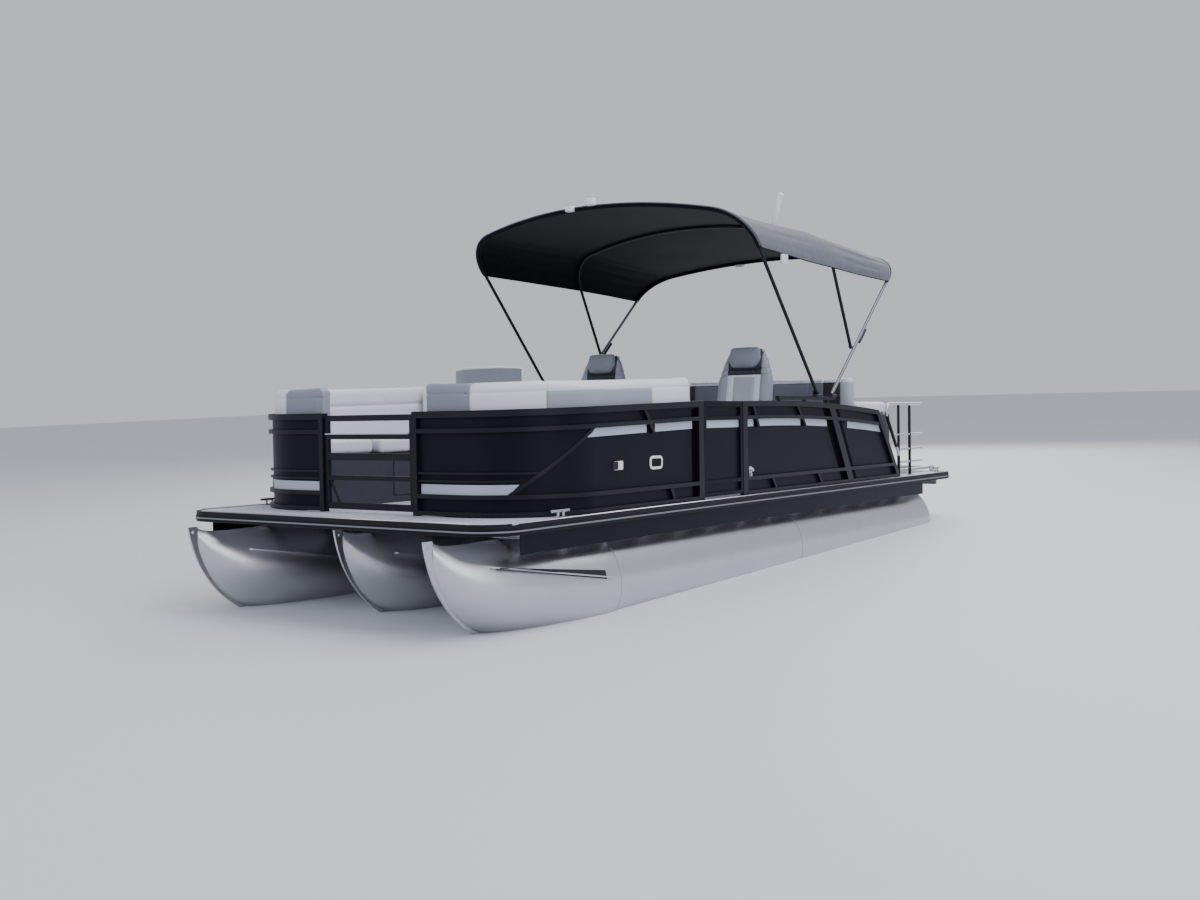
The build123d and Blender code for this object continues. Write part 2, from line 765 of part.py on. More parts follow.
# Helm console, drawn in side view, with its screen, wheel and column
console_aft_x = 560
console_half_width = 340
console_y = -770
wheel_centre = (505, console_y, 1150)
wheel_radius = 178
wheel_rim = 13
wheel_rake = 28
rake = radians(wheel_rake)
wheel_plane = Plane(origin=wheel_centre, x_dir=(0, 1, 0), z_dir=(-cos(rake), 0, sin(rake)))
with BuildPart() as helm_console:
    with BuildSketch(along(console_y + console_half_width)):
        with BuildLine():
            Polyline(
                (1060, deck_top), (1075, 900), (1020, 1230), (900, 1290), (690, 1270), (585, 1090),
                (console_aft_x, 980), (600, 900), (600, deck_top), close=True,
            )
        make_face()
    extrude(amount=2 * console_half_width)
    fillet(helm_console.edges().group_by(Axis.Y)[0], 30)
    fillet(helm_console.edges().group_by(Axis.Y)[-1], 30)
    with BuildSketch(wheel_plane.offset(-17)):
        Circle(30)
    extrude(amount=-110)
write_piece(helm_console.part, "helm_console")

screen_low = 1255
screen_top = 1436
screen_thickness = 6
with BuildPart() as windscreen:
    with BuildSketch(Plane.XY.offset(screen_low)):
        with BuildLine():
            ThreePointArc((860, console_y - 330), (955, console_y), (860, console_y + 330))
            Line((860, console_y + 330), (860 - screen_thickness, console_y + 330))
            ThreePointArc(
                (860 - screen_thickness, console_y + 330), (955 - screen_thickness, console_y),
                (860 - screen_thickness, console_y - 330),
            )
            Line((860 - screen_thickness, console_y - 330), (860, console_y - 330))
        make_face()
    extrude(amount=screen_top - screen_low)
    add(helm_console.part, mode=Mode.SUBTRACT)
write_piece(windscreen.part, "windscreen")

with BuildPart() as steering_wheel:
    with BuildSketch(Plane(
        origin=wheel_plane.from_local_coords((wheel_radius, 0, 0)), x_dir=(0, 1, 0), z_dir=wheel_plane.y_dir,
    )):
        Circle(wheel_rim)
    revolve(axis=Axis(wheel_centre, wheel_plane.z_dir))
    with BuildSketch(wheel_plane.offset(-12)):
        Circle(42)
    extrude(amount=24)
    with BuildSketch(wheel_plane.offset(-5)):
        with PolarLocations(wheel_radius / 2, 3, 90):
            Rectangle(wheel_radius - 4, 30)
    extrude(amount=10)
write_piece(steering_wheel.part, "steering_wheel")

# Captain's chairs on pedestals
pedestal_top = 800
chair_swivel_gap = 5
spindle_radius = 20
chair_seat_top = 945
chair_top = 1590
with BuildPart() as chair_pedestals:
    for side in (1, -1):
        with Locations((chair_x, side * chair_y, deck_top + 6)):
            Cylinder(175, 12)
        with Locations((chair_x, side * chair_y, (deck_top + 12 + pedestal_top) / 2)):
            Cylinder(42, pedestal_top - deck_top - 12)
        with Locations((chair_x, side * chair_y, pedestal_top + 12)):
            Cylinder(spindle_radius, 24)
write_piece(chair_pedestals.part, "chair_pedestals")

for side, label in ((1, "mate_chair"), (-1, "helm_chair")):
    with BuildPart() as chair:
        with Locations((chair_x, side * chair_y, pedestal_top + chair_swivel_gap + 13)):
            Box(320, 320, 26)
        with Locations((chair_x + 20, side * chair_y, (pedestal_top + 30 + chair_seat_top) / 2)):
            Box(540, 500, chair_seat_top - pedestal_top - 30)
        with BuildSketch(along(side * chair_y + 245)):
            with BuildLine():
                Polyline(
                    (chair_x - 170, chair_seat_top - 60), (chair_x - 150, chair_seat_top + 60),
                    (chair_x - 240, chair_top - 40), (chair_x - 290, chair_top), (chair_x - 350, chair_top - 30),
                    (chair_x - 270, chair_seat_top - 60), close=True,
                )
            make_face()
        extrude(amount=490)
        for arm_y in (-270, 270):
            with Locations((chair_x - 20, side * chair_y + arm_y, chair_seat_top + 95)):
                Box(400, 60, 250)
        with Locations((chair_x, side * chair_y, pedestal_top + 15)):
            Cylinder(spindle_radius + pin_clearance, 30, mode=Mode.SUBTRACT)
    write_piece(chair.part, label)

# Canvas top: three hoops on side tracks, each drawn in its own leaning plane
track_top = 1190
track_low = 1163
track_aft_x = -850
track_front_x = 60
front_pivot = (-540, 1215)
rear_pivot = (-800, 1215)
front_hoop_angle = 49.2
rear_hoop_angle = 138.4
mid_hoop_angle = 63.3
front_crown = 1800
rear_crown = 1880
mid_crown = 1110
mid_pivot_along = 555
mid_inset = 36
pin_radius = 5


def hoop_plane(pivot, angle):
    """A hoop's leaning plane: its own x is +Y and its own y runs up the leg from the pivot."""
    lean = radians(angle)
    return Plane(origin=(pivot[0], 0, pivot[1]), x_dir=(0, 1, 0), z_dir=(sin(lean), 0, -cos(lean)))


def hoop_lines(half_width, corner, crown, foot):
    """A hoop's line in its plane: leg, corner, crown, corner and leg."""
    turn = radians(bow_corner_turn)
    knee_y = half_width - corner
    end_y = knee_y + corner * cos(turn)
    end_rise = corner * sin(turn)
    start = crown - end_y * tan((pi_half - turn) / 2) - end_rise
    mid = (knee_y + corner * cos(turn / 2), start + corner * sin(turn / 2))
    end = (end_y, start + end_rise)
    return (half_width, foot), (half_width, start), mid, end, (0, crown)


pi_half = radians(90)


def hoop_wire(half_width, corner, crown, foot):
    """The full hoop line as lines and arcs, inside an open BuildLine."""
    low, start, mid, end, top = hoop_lines(half_width, corner, crown, foot)
    Line(low, start)
    ThreePointArc(start, mid, end)
    ThreePointArc(end, top, (-end[0], end[1]))
    ThreePointArc((-end[0], end[1]), (-mid[0], mid[1]), (-start[0], start[1]))
    Line((-start[0], start[1]), (-low[0], low[1]))


def along_leg(pivot, angle, distance):
    """The x and z of a point up a hoop's leg."""
    lean = radians(angle)
    return pivot[0] + distance * cos(lean), pivot[1] + distance * sin(lean)


mid_pivot = along_leg(rear_pivot, rear_hoop_angle, mid_pivot_along)
hoops = {
    "front": (front_pivot, front_hoop_angle, front_crown, bow_half_width, bow_corner_radius),
    "mid": (mid_pivot, mid_hoop_angle, mid_crown, bow_half_width - mid_inset, bow_corner_radius - mid_inset),
    "rear": (rear_pivot, rear_hoop_angle, rear_crown, bow_half_width, bow_corner_radius),
}
foot_length = -14
hoop_parts = {}
for name, (pivot, angle, crown, half_width, corner) in hoops.items():
    plane = hoop_plane(pivot, angle)
    with BuildPart() as hoop:
        with BuildLine(plane) as hoop_path:
            hoop_wire(half_width, corner, crown, foot_length)
        foot = plane.from_local_coords((half_width, foot_length, 0))
        with BuildSketch(Plane(origin=foot, x_dir=(0, 1, 0), z_dir=plane.y_dir)):
            Circle(bow_tube / 2)
        sweep(path=hoop_path.wires()[0])
        with BuildSketch(along(half_width + 30, pivot[0], pivot[1])):
            Circle(pin_radius + pin_clearance)
        extrude(amount=2 * half_width + 60, mode=Mode.SUBTRACT)
        if name == "rear":
            for side in (1, -1):
                with BuildSketch(along(side * (half_width - 8), mid_pivot[0], mid_pivot[1])):
                    Circle(pin_radius)
                extrude(amount=side * (mid_inset + 12))
    hoop_parts[name] = hoop.part
    write_piece(hoop.part, "bimini_" + name + "_bow")

with BuildPart() as bimini_tracks:
    bracket_y = bow_half_width - bow_tube / 2 - 5
    for side in (1, -1):
        with Locations(((track_aft_x + track_front_x) / 2, side * (bow_half_width - 12), (track_low + track_top) / 2)):
            Box(track_front_x - track_aft_x, 30, track_top - track_low)
        for stand_x in (track_aft_x + 60, (track_aft_x + track_front_x) / 2, track_front_x - 60):
            with Locations((stand_x, side * (bow_half_width - 32), track_low - 32)):
                Box(40, 12, 88)
        for pivot in (front_pivot, rear_pivot):
            with Locations((pivot[0], side * (bracket_y - 3), (track_top + pivot[1] + 14) / 2)):
                Box(34, 8, pivot[1] + 14 - track_top)
            with BuildSketch(along(side * (bracket_y - 4), pivot[0], pivot[1])):
                Circle(pin_radius)
            extrude(amount=-side * 38)
write_piece(bimini_tracks.part, "bimini_tracks")

# The light on the mid hoop, leaning out to port
light_y = 770
light_lean = 20
light_length = 280
light_radius = 18


def hoop_height(half_width, corner, crown, y):
    """How far up its plane a hoop's crown arc is at a distance from the centreline."""
    end = hoop_lines(half_width, corner, crown, 0)[3]
    radius = end[0] / sin(pi_half - radians(bow_corner_turn))
    return crown - radius + (radius ** 2 - y ** 2) ** 0.5


light_up = hoop_height(bow_half_width - mid_inset, bow_corner_radius - mid_inset, mid_crown, light_y)
light_x, light_z = along_leg(mid_pivot, mid_hoop_angle, light_up)
lean = radians(light_lean)
light_plane = Plane(origin=(light_x, light_y, light_z), x_dir=(1, 0, 0), z_dir=(0, sin(lean), cos(lean)))
with BuildPart() as masthead_light:
    with BuildSketch(light_plane):
        Circle(light_radius)
    extrude(amount=light_length)
    fillet(masthead_light.edges().group_by(Axis.Z)[-1], 8)
    add(hoop_parts["mid"], mode=Mode.SUBTRACT)
write_piece(masthead_light.part, "masthead_light")

# Canvas: one thin band at each hoop, joined by straight spans
with BuildPart() as canopy:
    for pivot, angle, crown, half_width, corner in (
        hoops["front"],
        (mid_pivot, mid_hoop_angle, mid_crown, bow_half_width, bow_corner_radius),
        hoops["rear"],
    ):
        base = hoop_lines(half_width, corner, crown, 0)
        edge = base[1][1] - canvas_edge_drop
        with BuildSketch(hoop_plane(pivot, angle)):
            with BuildLine():
                for reach in (canvas_offset, canvas_offset + canvas_thickness):
                    hoop_wire(half_width + reach, corner + reach, crown + reach, edge)
                for end in (-1, 1):
                    Line(
                        (end * (half_width + canvas_offset), edge),
                        (end * (half_width + canvas_offset + canvas_thickness), edge),
                    )
            make_face()
    loft(ruled=True)
    with BuildSketch(light_plane.offset(-20)):
        Circle(light_radius + 8)
    extrude(amount=200, mode=Mode.SUBTRACT)
write_piece(canopy.part, "bimini_canopy")

# Outboard: clamp bracket, tilting swivel, steered leg with its cowl, and propeller
clamp_y = 95
clamp_thickness = 30
tilt_pin = 14
with BuildPart() as outboard_bracket:
    for side in (1, -1):
        with BuildSketch(along(side * clamp_y)):
            with BuildLine():
                Polyline(
                    (transom_x, 150), (transom_x, 430), (tilt_x, tilt_z + 26), (tilt_x - 22, tilt_z - 20),
                    (transom_x - 45, 150), close=True,
                )
            make_face()
        extrude(amount=-side * clamp_thickness)
    with BuildSketch(along(clamp_y + 10, tilt_x, tilt_z)):
        Circle(tilt_pin)
    extrude(amount=2 * clamp_y + 20)
write_piece(outboard_bracket.part, "outboard_bracket")

swivel_half = 86
shaft_radius = 20
housing_radius = 42
housing_low = 150
housing_top = 392
with BuildPart() as outboard_swivel:
    with BuildSketch(along(swivel_half, tilt_x, tilt_z)):
        Circle(26)
    extrude(amount=2 * swivel_half)
    with BuildSketch(Plane(origin=(steer_x, 0, housing_low))):
        Circle(housing_radius)
    extrude(amount=housing_top - housing_low)
    with Locations(((tilt_x + steer_x) / 2, 0, tilt_z - 55)):
        Box(abs(tilt_x - steer_x) - 4, 70, 74)
    with BuildSketch(Plane(origin=(steer_x, 0, housing_low - 10))):
        Circle(shaft_radius + pin_clearance)
    extrude(amount=housing_top - housing_low + 80, mode=Mode.SUBTRACT)
    with BuildSketch(along(swivel_half + 10, tilt_x, tilt_z)):
        Circle(tilt_pin + pin_clearance)
    extrude(amount=2 * swivel_half + 20, mode=Mode.SUBTRACT)
write_piece(outboard_swivel.part, "outboard_swivel")

yoke_gap = 6
leg_front_x = -3078
leg_chord = 192
leg_back_x = leg_front_x - leg_chord
leg_top = 452
plate_z = -233
gearcase_nose_x = -3012
gearcase_end_x = leg_back_x - 30
plate_lead = 55
plate_length = leg_chord + 238
gearcase_radius = 56
nose_length = 108
skeg_depth = 190
prop_shaft_radius = 12
prop_length = 110
with BuildPart() as outboard_leg:
    with BuildSketch(Plane(origin=(steer_x, 0, housing_low - yoke_gap - 25))):
        Circle(shaft_radius)
    extrude(amount=housing_top - housing_low + 2 * yoke_gap + 45)
    for low in (housing_low - yoke_gap - 25, housing_top + yoke_gap):
        with BuildSketch(Plane(origin=(0, 0, low))):
            with Locations((steer_x, 0)):
                Circle(36)
            with Locations(((steer_x + leg_front_x - 20) / 2, 0)):
                Rectangle(steer_x - leg_front_x + 20, 50)
        extrude(amount=22)
    # Leg sections as height, front, back, half width
    for height, front, back, half in (
        (leg_top, leg_front_x, leg_back_x - 40, 95),
        (150, leg_front_x, leg_back_x, 62),
        (plate_z, leg_front_x - 20, leg_back_x - 10, 30),
        (prop_z - 10, leg_front_x - 10, leg_back_x - 10, 20),
    ):
        with BuildSketch(Plane.XY.offset(height)):
            with BuildLine():
                ThreePointArc((front, 0), ((front + back) / 2, half), (back, 0))
                ThreePointArc((back, 0), ((front + back) / 2, -half), (front, 0))
            make_face()
    loft()
    with BuildSketch(Plane(origin=(leg_front_x + plate_lead - plate_length / 2, 0, plate_z))):
        RectangleRounded(plate_length, 200, 60)
    extrude(amount=9)
    with BuildSketch(along(0)):
        with BuildLine():
            Polyline(
                (gearcase_nose_x, prop_z + 8), (gearcase_nose_x, prop_z), (gearcase_end_x, prop_z),
                (gearcase_end_x, prop_z + gearcase_radius - 10),
                (gearcase_nose_x - nose_length, prop_z + gearcase_radius),
            )
            ThreePointArc(
                (gearcase_nose_x - nose_length, prop_z + gearcase_radius),
                (gearcase_nose_x - nose_length * 0.3, prop_z + 38), (gearcase_nose_x, prop_z + 8),
            )
        make_face()
    revolve(axis=Axis((gearcase_nose_x, 0, prop_z), (1, 0, 0)))
    with BuildSketch(across(gearcase_end_x + 20, 0, prop_z)):
        Circle(prop_shaft_radius)
    extrude(amount=-prop_length - 20)
    with BuildSketch(along(5)):
        with BuildLine():
            Polyline(
                (gearcase_nose_x - nose_length, prop_z - 30), (gearcase_end_x + 50, prop_z - 30),
                (gearcase_end_x + 10, prop_z - skeg_depth), (gearcase_end_x + 60, prop_z - skeg_depth),
                close=True,
            )
        make_face()
    extrude(amount=10)
write_piece(outboard_leg.part, "outboard_leg")

cowl_front_x = -2880
cowl_length = 610
cowl_back_x = cowl_front_x - cowl_length
cowl_nose = 150
cowl_tail = 45
# Cowl sections as height, front, back, half width: each has a round nose and a flatter tail
with BuildPart() as outboard_cowl:
    for height, front, back, half in (
        (leg_top, cowl_front_x - 110, cowl_back_x + 70, 120),
        (600, cowl_front_x - 20, cowl_back_x + 10, 190),
        (820, cowl_front_x, cowl_back_x, 208),
        (1000, cowl_front_x - 35, cowl_back_x + 60, 182),
        (1055, cowl_front_x - 110, cowl_back_x + 200, 110),
    ):
        with BuildSketch(Plane.XY.offset(height)):
            with BuildLine():
                ThreePointArc((front - cowl_nose, half), (front, 0), (front - cowl_nose, -half))
                Line((front - cowl_nose, -half), (back + cowl_tail, -half * 0.92))
                ThreePointArc((back + cowl_tail, -half * 0.92), (back, 0), (back + cowl_tail, half * 0.92))
                Line((back + cowl_tail, half * 0.92), (front - cowl_nose, half))
            make_face()
    loft()
write_piece(outboard_cowl.part, "outboard_cowl")

prop_front_x = gearcase_end_x - 6
prop_hub_radius = 46
prop_radius = 178
blade_count = 3
# Blade sections as radius, chord, pitch in degrees and thickness
blade_sections = [(prop_hub_radius - 12, 70, 64, 9), (prop_radius * 0.62, 128, 42, 7), (prop_radius, 60, 30, 4)]
with BuildPart() as propeller:
    with BuildSketch(across(prop_front_x - prop_length, 0, prop_z)):
        Circle(prop_hub_radius - 12)
    with BuildSketch(across(prop_front_x, 0, prop_z)):
        Circle(prop_hub_radius)
    loft()
    for number in range(blade_count):
        turn = radians(number * 360 / blade_count)
        out = (0, sin(turn), cos(turn))
        sideways = (0, cos(turn), -sin(turn))
        for radius, chord, pitch, thick in blade_sections:
            fore, swing = cos(radians(pitch)), sin(radians(pitch))
            section_plane = Plane(
                origin=(prop_front_x - prop_length / 2, radius * out[1], prop_z + radius * out[2]),
                x_dir=(fore, swing * sideways[1], swing * sideways[2]),
                z_dir=out,
            )
            with BuildSketch(section_plane):
                with BuildLine():
                    ThreePointArc((-chord / 2, 0), (0, thick), (chord / 2, 0))
                    ThreePointArc((chord / 2, 0), (0, -1), (-chord / 2, 0))
                make_face()
        loft()
    with BuildSketch(across(prop_front_x + 10, 0, prop_z)):
        Circle(prop_shaft_radius + pin_clearance)
    extrude(amount=-prop_length - 20, mode=Mode.SUBTRACT)
write_piece(propeller.part, "propeller")

# Boarding ladder, folded forward on the port side of the platform
ladder_hinge_x = -3250
ladder_z = 546
ladder_y = (710, 1070)
ladder_reach = 790
ladder_tube = 25
with BuildPart() as boarding_ladder:
    for rail_y in ladder_y:
        with BuildSketch(across(ladder_hinge_x - 14, rail_y, ladder_z)):
            Circle(ladder_tube / 2)
        extrude(amount=ladder_reach)
    for number in range(3):
        with Locations((ladder_hinge_x + 150 + number * 240, sum(ladder_y) / 2, ladder_z)):
            Box(75, ladder_y[1] - ladder_y[0], 18)
    with BuildSketch(along(ladder_y[1], ladder_hinge_x - 14 + ladder_reach - ladder_tube, ladder_z)):
        Circle(ladder_tube / 2 - 1)
    extrude(amount=ladder_y[1] - ladder_y[0])
    with BuildSketch(along(ladder_y[1] + 30, ladder_hinge_x, ladder_z)):
        Circle(6 + pin_clearance)
    extrude(amount=ladder_y[1] - ladder_y[0] + 60, mode=Mode.SUBTRACT)
write_piece(boarding_ladder.part, "boarding_ladder")

with BuildPart() as ladder_brackets:
    for rail_y, outward in ((ladder_y[0], -1), (ladder_y[1], 1)):
        plate_y = rail_y + outward * (ladder_tube / 2 + 9)
        with Locations((ladder_hinge_x + 35, plate_y, (deck_top + 2 + ladder_z + 16) / 2)):
            Box(100, 8, ladder_z + 16 - deck_top - 2)
        with Locations((ladder_hinge_x + 60, plate_y + outward * 14, deck_top + 5)):
            Box(50, 36, 6)
        with BuildSketch(along(plate_y, ladder_hinge_x, ladder_z)):
            Circle(6)
        extrude(amount=outward * 30)
write_piece(ladder_brackets.part, "ladder_brackets")

# Mooring cleats on the deck's edge
cleat_bow_setback = 645
cleat_bow_inset = 71
cleat_stern_setback = 140
cleat_stern_inset = 105
cleat_places = [
    (end * (deck_length / 2 - setback), side * (deck_width / 2 - inset))
    for end, setback, inset in (
        (1, cleat_bow_setback, cleat_bow_inset), (-1, cleat_stern_setback, cleat_stern_inset),
    )
    for side in (1, -1)
]
with BuildPart() as cleats:
    for cleat_x, cleat_y in cleat_places:
        with Locations((cleat_x, cleat_y, deck_top + 4)):
            Box(90, 30, 8)
        for foot_x in (-24, 24):
            with Locations((cleat_x + foot_x, cleat_y, deck_top + 20)):
                Cylinder(8, 28)
        with BuildSketch(across(cleat_x - 75, cleat_y, deck_top + 38)):
            Circle(9)
        extrude(amount=150)
write_piece(cleats.part, "cleats")

# Docking lights on the bow panels
light_panel_x = 2040
light_panel_z = 773
with BuildPart() as docking_lights:
    for side in (1, -1):
        with Locations((light_panel_x, side * (fence_side_y - fence_depth + 6), light_panel_z)):
            Box(78, 12, 46)
write_piece(docking_lights.part, "docking_lights")
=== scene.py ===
"""A three-tube pleasure boat afloat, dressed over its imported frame.

Metres, +X to the bow, +Y to port, +Z up, with the waterline through the origin.
"""
from __future__ import annotations

import logging
from dataclasses import dataclass, field, replace
from enum import Enum
from math import atan2, cos, degrees, pi, radians, sin, sqrt, tan
from typing import Callable, Iterable, Optional, Sequence

import bmesh
import bpy
from mathutils import Matrix, Vector, noise
from mathutils.bvhtree import BVHTree

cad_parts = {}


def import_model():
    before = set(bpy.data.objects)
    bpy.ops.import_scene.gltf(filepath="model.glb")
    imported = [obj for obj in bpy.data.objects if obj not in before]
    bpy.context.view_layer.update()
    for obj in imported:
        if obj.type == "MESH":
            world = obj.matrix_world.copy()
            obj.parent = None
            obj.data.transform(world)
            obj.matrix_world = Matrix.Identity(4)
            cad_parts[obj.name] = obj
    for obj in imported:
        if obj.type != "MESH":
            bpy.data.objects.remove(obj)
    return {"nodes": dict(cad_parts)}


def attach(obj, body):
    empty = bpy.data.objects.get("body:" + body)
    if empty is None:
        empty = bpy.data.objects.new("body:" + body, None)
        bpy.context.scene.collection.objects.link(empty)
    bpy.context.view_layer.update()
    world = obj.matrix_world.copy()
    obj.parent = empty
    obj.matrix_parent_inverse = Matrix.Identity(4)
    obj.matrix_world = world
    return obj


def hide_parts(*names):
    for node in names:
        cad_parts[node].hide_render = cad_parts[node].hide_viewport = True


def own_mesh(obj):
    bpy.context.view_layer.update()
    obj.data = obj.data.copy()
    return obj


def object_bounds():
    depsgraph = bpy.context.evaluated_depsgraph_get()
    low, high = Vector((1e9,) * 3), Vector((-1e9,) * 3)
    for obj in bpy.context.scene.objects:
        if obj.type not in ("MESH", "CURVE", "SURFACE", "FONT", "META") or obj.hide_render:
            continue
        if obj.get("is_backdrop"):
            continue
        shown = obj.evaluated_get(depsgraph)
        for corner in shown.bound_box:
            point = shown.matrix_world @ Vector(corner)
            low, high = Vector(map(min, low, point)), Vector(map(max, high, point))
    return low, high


LOG = logging.getLogger("pontoon_boat")

Point = tuple[float, float, float]
Pair = tuple[float, float]
Mesh = bmesh.types.BMesh
Piece = bpy.types.Object
Tree = bpy.types.NodeTree
Socket = bpy.types.NodeSocket
Cover = Callable[[Vector, Vector], int]
Height = Callable[[float], float]

AHEAD, TO_PORT, UP = (1.0, 0.0, 0.0), (0.0, 1.0, 0.0), (0.0, 0.0, 1.0)
# The fence's post beside the bow gate, and how much its top climbs on the way aft
FENCE_FRONT = 2.860
FENCE_RISE = tan(radians(1.52))
# Where the bow part of the fence ends and its top's height at the front
BOW_FENCE_AFT, BOW_FENCE_TOP = 1.091, 1.108
# Where the after part starts to fall away, its top's height there, and how it climbs and falls behind
AFT_FENCE_X, AFT_FENCE_TOP, AFT_CLIMB, AFT_FALL = 0.583, 1.153, 0.015774, 0.021344
# Outer face of the fence's skins on the straight side
SKIN_Y = 1.2290
# Height of the tubes' middle above the water
TUBE_Z = 0.0885
# Height of the lockers' tops, on which the lounges' seats lie
SEAT_Z = 0.847
# Turned profiles, as pairs of radius and height
CUP = ((0.036, -0.004), (0.046, -0.004), (0.048, 0.002), (0.042, 0.004), (0.036, 0.002), (0.034, -0.05),
       (0, -0.052))
LATCH = ((0.0, 0.004), (0.019, 0.004), (0.022, 0.0), (0.0, -0.002))


def linear(code: str) -> tuple[float, float, float, float]:
    """Turn an sRGB hex colour into linear RGBA.

    Args:
        code: Six hex digits.

    Returns:
        Linear red, green, blue and alpha.
    """
    values = [int(code[i:i + 2], 16) / 255 for i in (0, 2, 4)]
    made = [v / 12.92 if v <= 0.04045 else ((v + 0.055) / 1.055) ** 2.4 for v in values]
    return made[0], made[1], made[2], 1.0


def add_node(tree: Tree, kind: str, settings: Optional[dict] = None, **inputs: object) -> bpy.types.Node:
    """Add one shader node with its settings, values and links.

    Args:
        tree: The material's node tree.
        kind: The node's type name, without the words Shader and Node.
        settings: Attributes set on the node, such as its operation.
        inputs: Input values or linked output sockets, by name with spaces as underscores, or
            by place as i0, i1 and so on.

    Returns:
        The new node.
    """
    node = tree.nodes.new("ShaderNode" + kind)
    for name, value in (settings or {}).items():
        setattr(node, name, value)
    for name, value in inputs.items():
        place = int(name[1:]) if name[0] == "i" and name[1:].isdigit() else name.replace("_", " ")
        socket = node.inputs[place]
        if isinstance(value, Socket):
            tree.links.new(value, socket)
        else:
            socket.default_value = value
    return node


class Grain(Enum):
    """How a surface's fine relief is drawn."""

    NONE = "none"
    PEBBLE = "pebble"
    BRUSHED = "brushed"
    WEAVE = "weave"
    ORANGE_PEEL = "orange peel"
    MOTTLE = "mottle"


@dataclass(frozen=True)
class Finish:
    """A surface as the maker leaves it: colour, gloss and a relief at its real size."""

    name: str
    colour: str
    worn: str
    roughness: float
    slot: str
    grain: Grain = Grain.NONE
    grain_mm: float = 1.0
    relief_mm: float = 0.05
    metallic: float = 0.0
    patch_mm: float = 120.0
    patch_share: float = 0.35
    coat: float = 0.0
    sheen: float = 0.0
    stretch: Point = (1.0, 1.0, 1.0)
    alpha: float = 1.0
    specular: float = 0.5
    lips: Optional[Pair] = None

    def material(self) -> bpy.types.Material:
        """Build the node material, or give back the one already made.

        Returns:
            The material that carries this finish.
        """
        known = bpy.data.materials.get(self.name)
        if known is not None and known.use_nodes:
            return known
        made = bpy.data.materials.new(self.name)
        made.use_nodes = True
        tree = made.node_tree
        tree.nodes.clear()
        place = add_node(tree, "TexCoord").outputs["Object"]
        patch = add_node(tree, "TexNoise", None, Vector=place, Scale=1000 / self.patch_mm, Detail=4.0,
                         Roughness=0.6)
        colour = add_node(tree, "Mix", {"data_type": "RGBA"}, i0=self._share(tree, patch.outputs["Fac"]),
                          i6=linear(self.colour), i7=linear(self.worn))
        shader = add_node(tree, "BsdfPrincipled", None, Base_Color=colour.outputs[2], Metallic=self.metallic,
                          Coat_Weight=self.coat, Coat_Roughness=0.08, Sheen_Weight=self.sheen,
                          Sheen_Roughness=0.45, Alpha=self.alpha, Specular_IOR_Level=self.specular)
        rough = add_node(tree, "MapRange", None, Value=patch.outputs["Fac"],
                         To_Min=max(self.roughness - 0.06, 0.02), To_Max=min(self.roughness + 0.08, 1.0))
        tree.links.new(rough.outputs["Result"], shader.inputs["Roughness"])
        height = self._height(tree, place)
        if height is not None:
            bump = add_node(tree, "Bump", None, Height=height, Strength=0.6, Distance=self.relief_mm / 1000)
            tree.links.new(bump.outputs["Normal"], shader.inputs["Normal"])
        output = add_node(tree, "OutputMaterial", None, Surface=shader.outputs["BSDF"])
        output.is_active_output = True
        return made

    def _share(self, tree: Tree, value: Socket) -> Socket:
        """Choose where the worn colour shows: in soft patches, or above and below a band.

        Args:
            tree: The material's node tree.
            value: The patches' noise.

        Returns:
            The share of worn colour.
        """
        if self.lips is None:
            return add_node(tree, "MapRange", None, Value=value, From_Min=0.35, From_Max=0.75, To_Min=0.0,
                            To_Max=self.patch_share).outputs["Result"]
        low, high = self.lips
        place = add_node(tree, "TexCoord").outputs["Object"]
        split = add_node(tree, "SeparateXYZ", None, Vector=place)
        away = add_node(tree, "Math", {"operation": "SUBTRACT"}, i0=split.outputs["Z"], i1=(low + high) / 2)
        size = add_node(tree, "Math", {"operation": "ABSOLUTE"}, i0=away.outputs["Value"])
        half = (high - low) / 2
        return add_node(tree, "MapRange", None, Value=size.outputs["Value"], From_Min=half,
                        From_Max=half + 0.001).outputs["Result"]

    def _height(self, tree: Tree, place: Socket) -> Optional[Socket]:
        """Draw the finish's relief.

        Args:
            tree: The material's node tree.
            place: Object coordinates.

        Returns:
            The height, or nothing for a plain surface.
        """
        size = 1000 / self.grain_mm
        if self.grain is Grain.NONE:
            return None
        if self.grain is Grain.PEBBLE:
            return add_node(tree, "TexVoronoi", {"feature": "SMOOTH_F1"}, Vector=place, Scale=size,
                            Smoothness=0.6).outputs["Distance"]
        if self.grain is Grain.WEAVE:
            warp, weft = (add_node(tree, "TexWave", {"bands_direction": way}, Vector=place,
                                   Scale=size / 6.28).outputs["Fac"] for way in ("X", "Y"))
            return add_node(tree, "Math", {"operation": "MAXIMUM"}, i0=warp, i1=weft).outputs["Value"]
        detail = {Grain.BRUSHED: 3.0, Grain.MOTTLE: 6.0, Grain.ORANGE_PEEL: 2.0}[self.grain]
        if self.grain is Grain.BRUSHED:
            place = add_node(tree, "Mapping", None, Vector=place, Scale=self.stretch).outputs["Vector"]
        return add_node(tree, "TexNoise", None, Vector=place, Scale=size, Detail=detail).outputs["Fac"]


# Rolled marine aluminium sheet: soft silver with mill lines along the tube and faint dull patches
MILL_ALUMINIUM = Finish("marine_aluminium_sheet", "CDCCCF", "B7B6BA", 0.33, "raw_aluminium", Grain.BRUSHED,
                        6.0, 0.12, metallic=1.0, patch_mm=420, patch_share=0.30, stretch=(0.06, 1.0, 1.0))
# Extruded aluminium, clear anodised: even satin silver
ANODISED = Finish("anodised_aluminium", "C9CACD", "B5B6BA", 0.30, "anodised", Grain.BRUSHED, 3.0, 0.04,
                  metallic=1.0, stretch=(0.1, 1.0, 1.0))
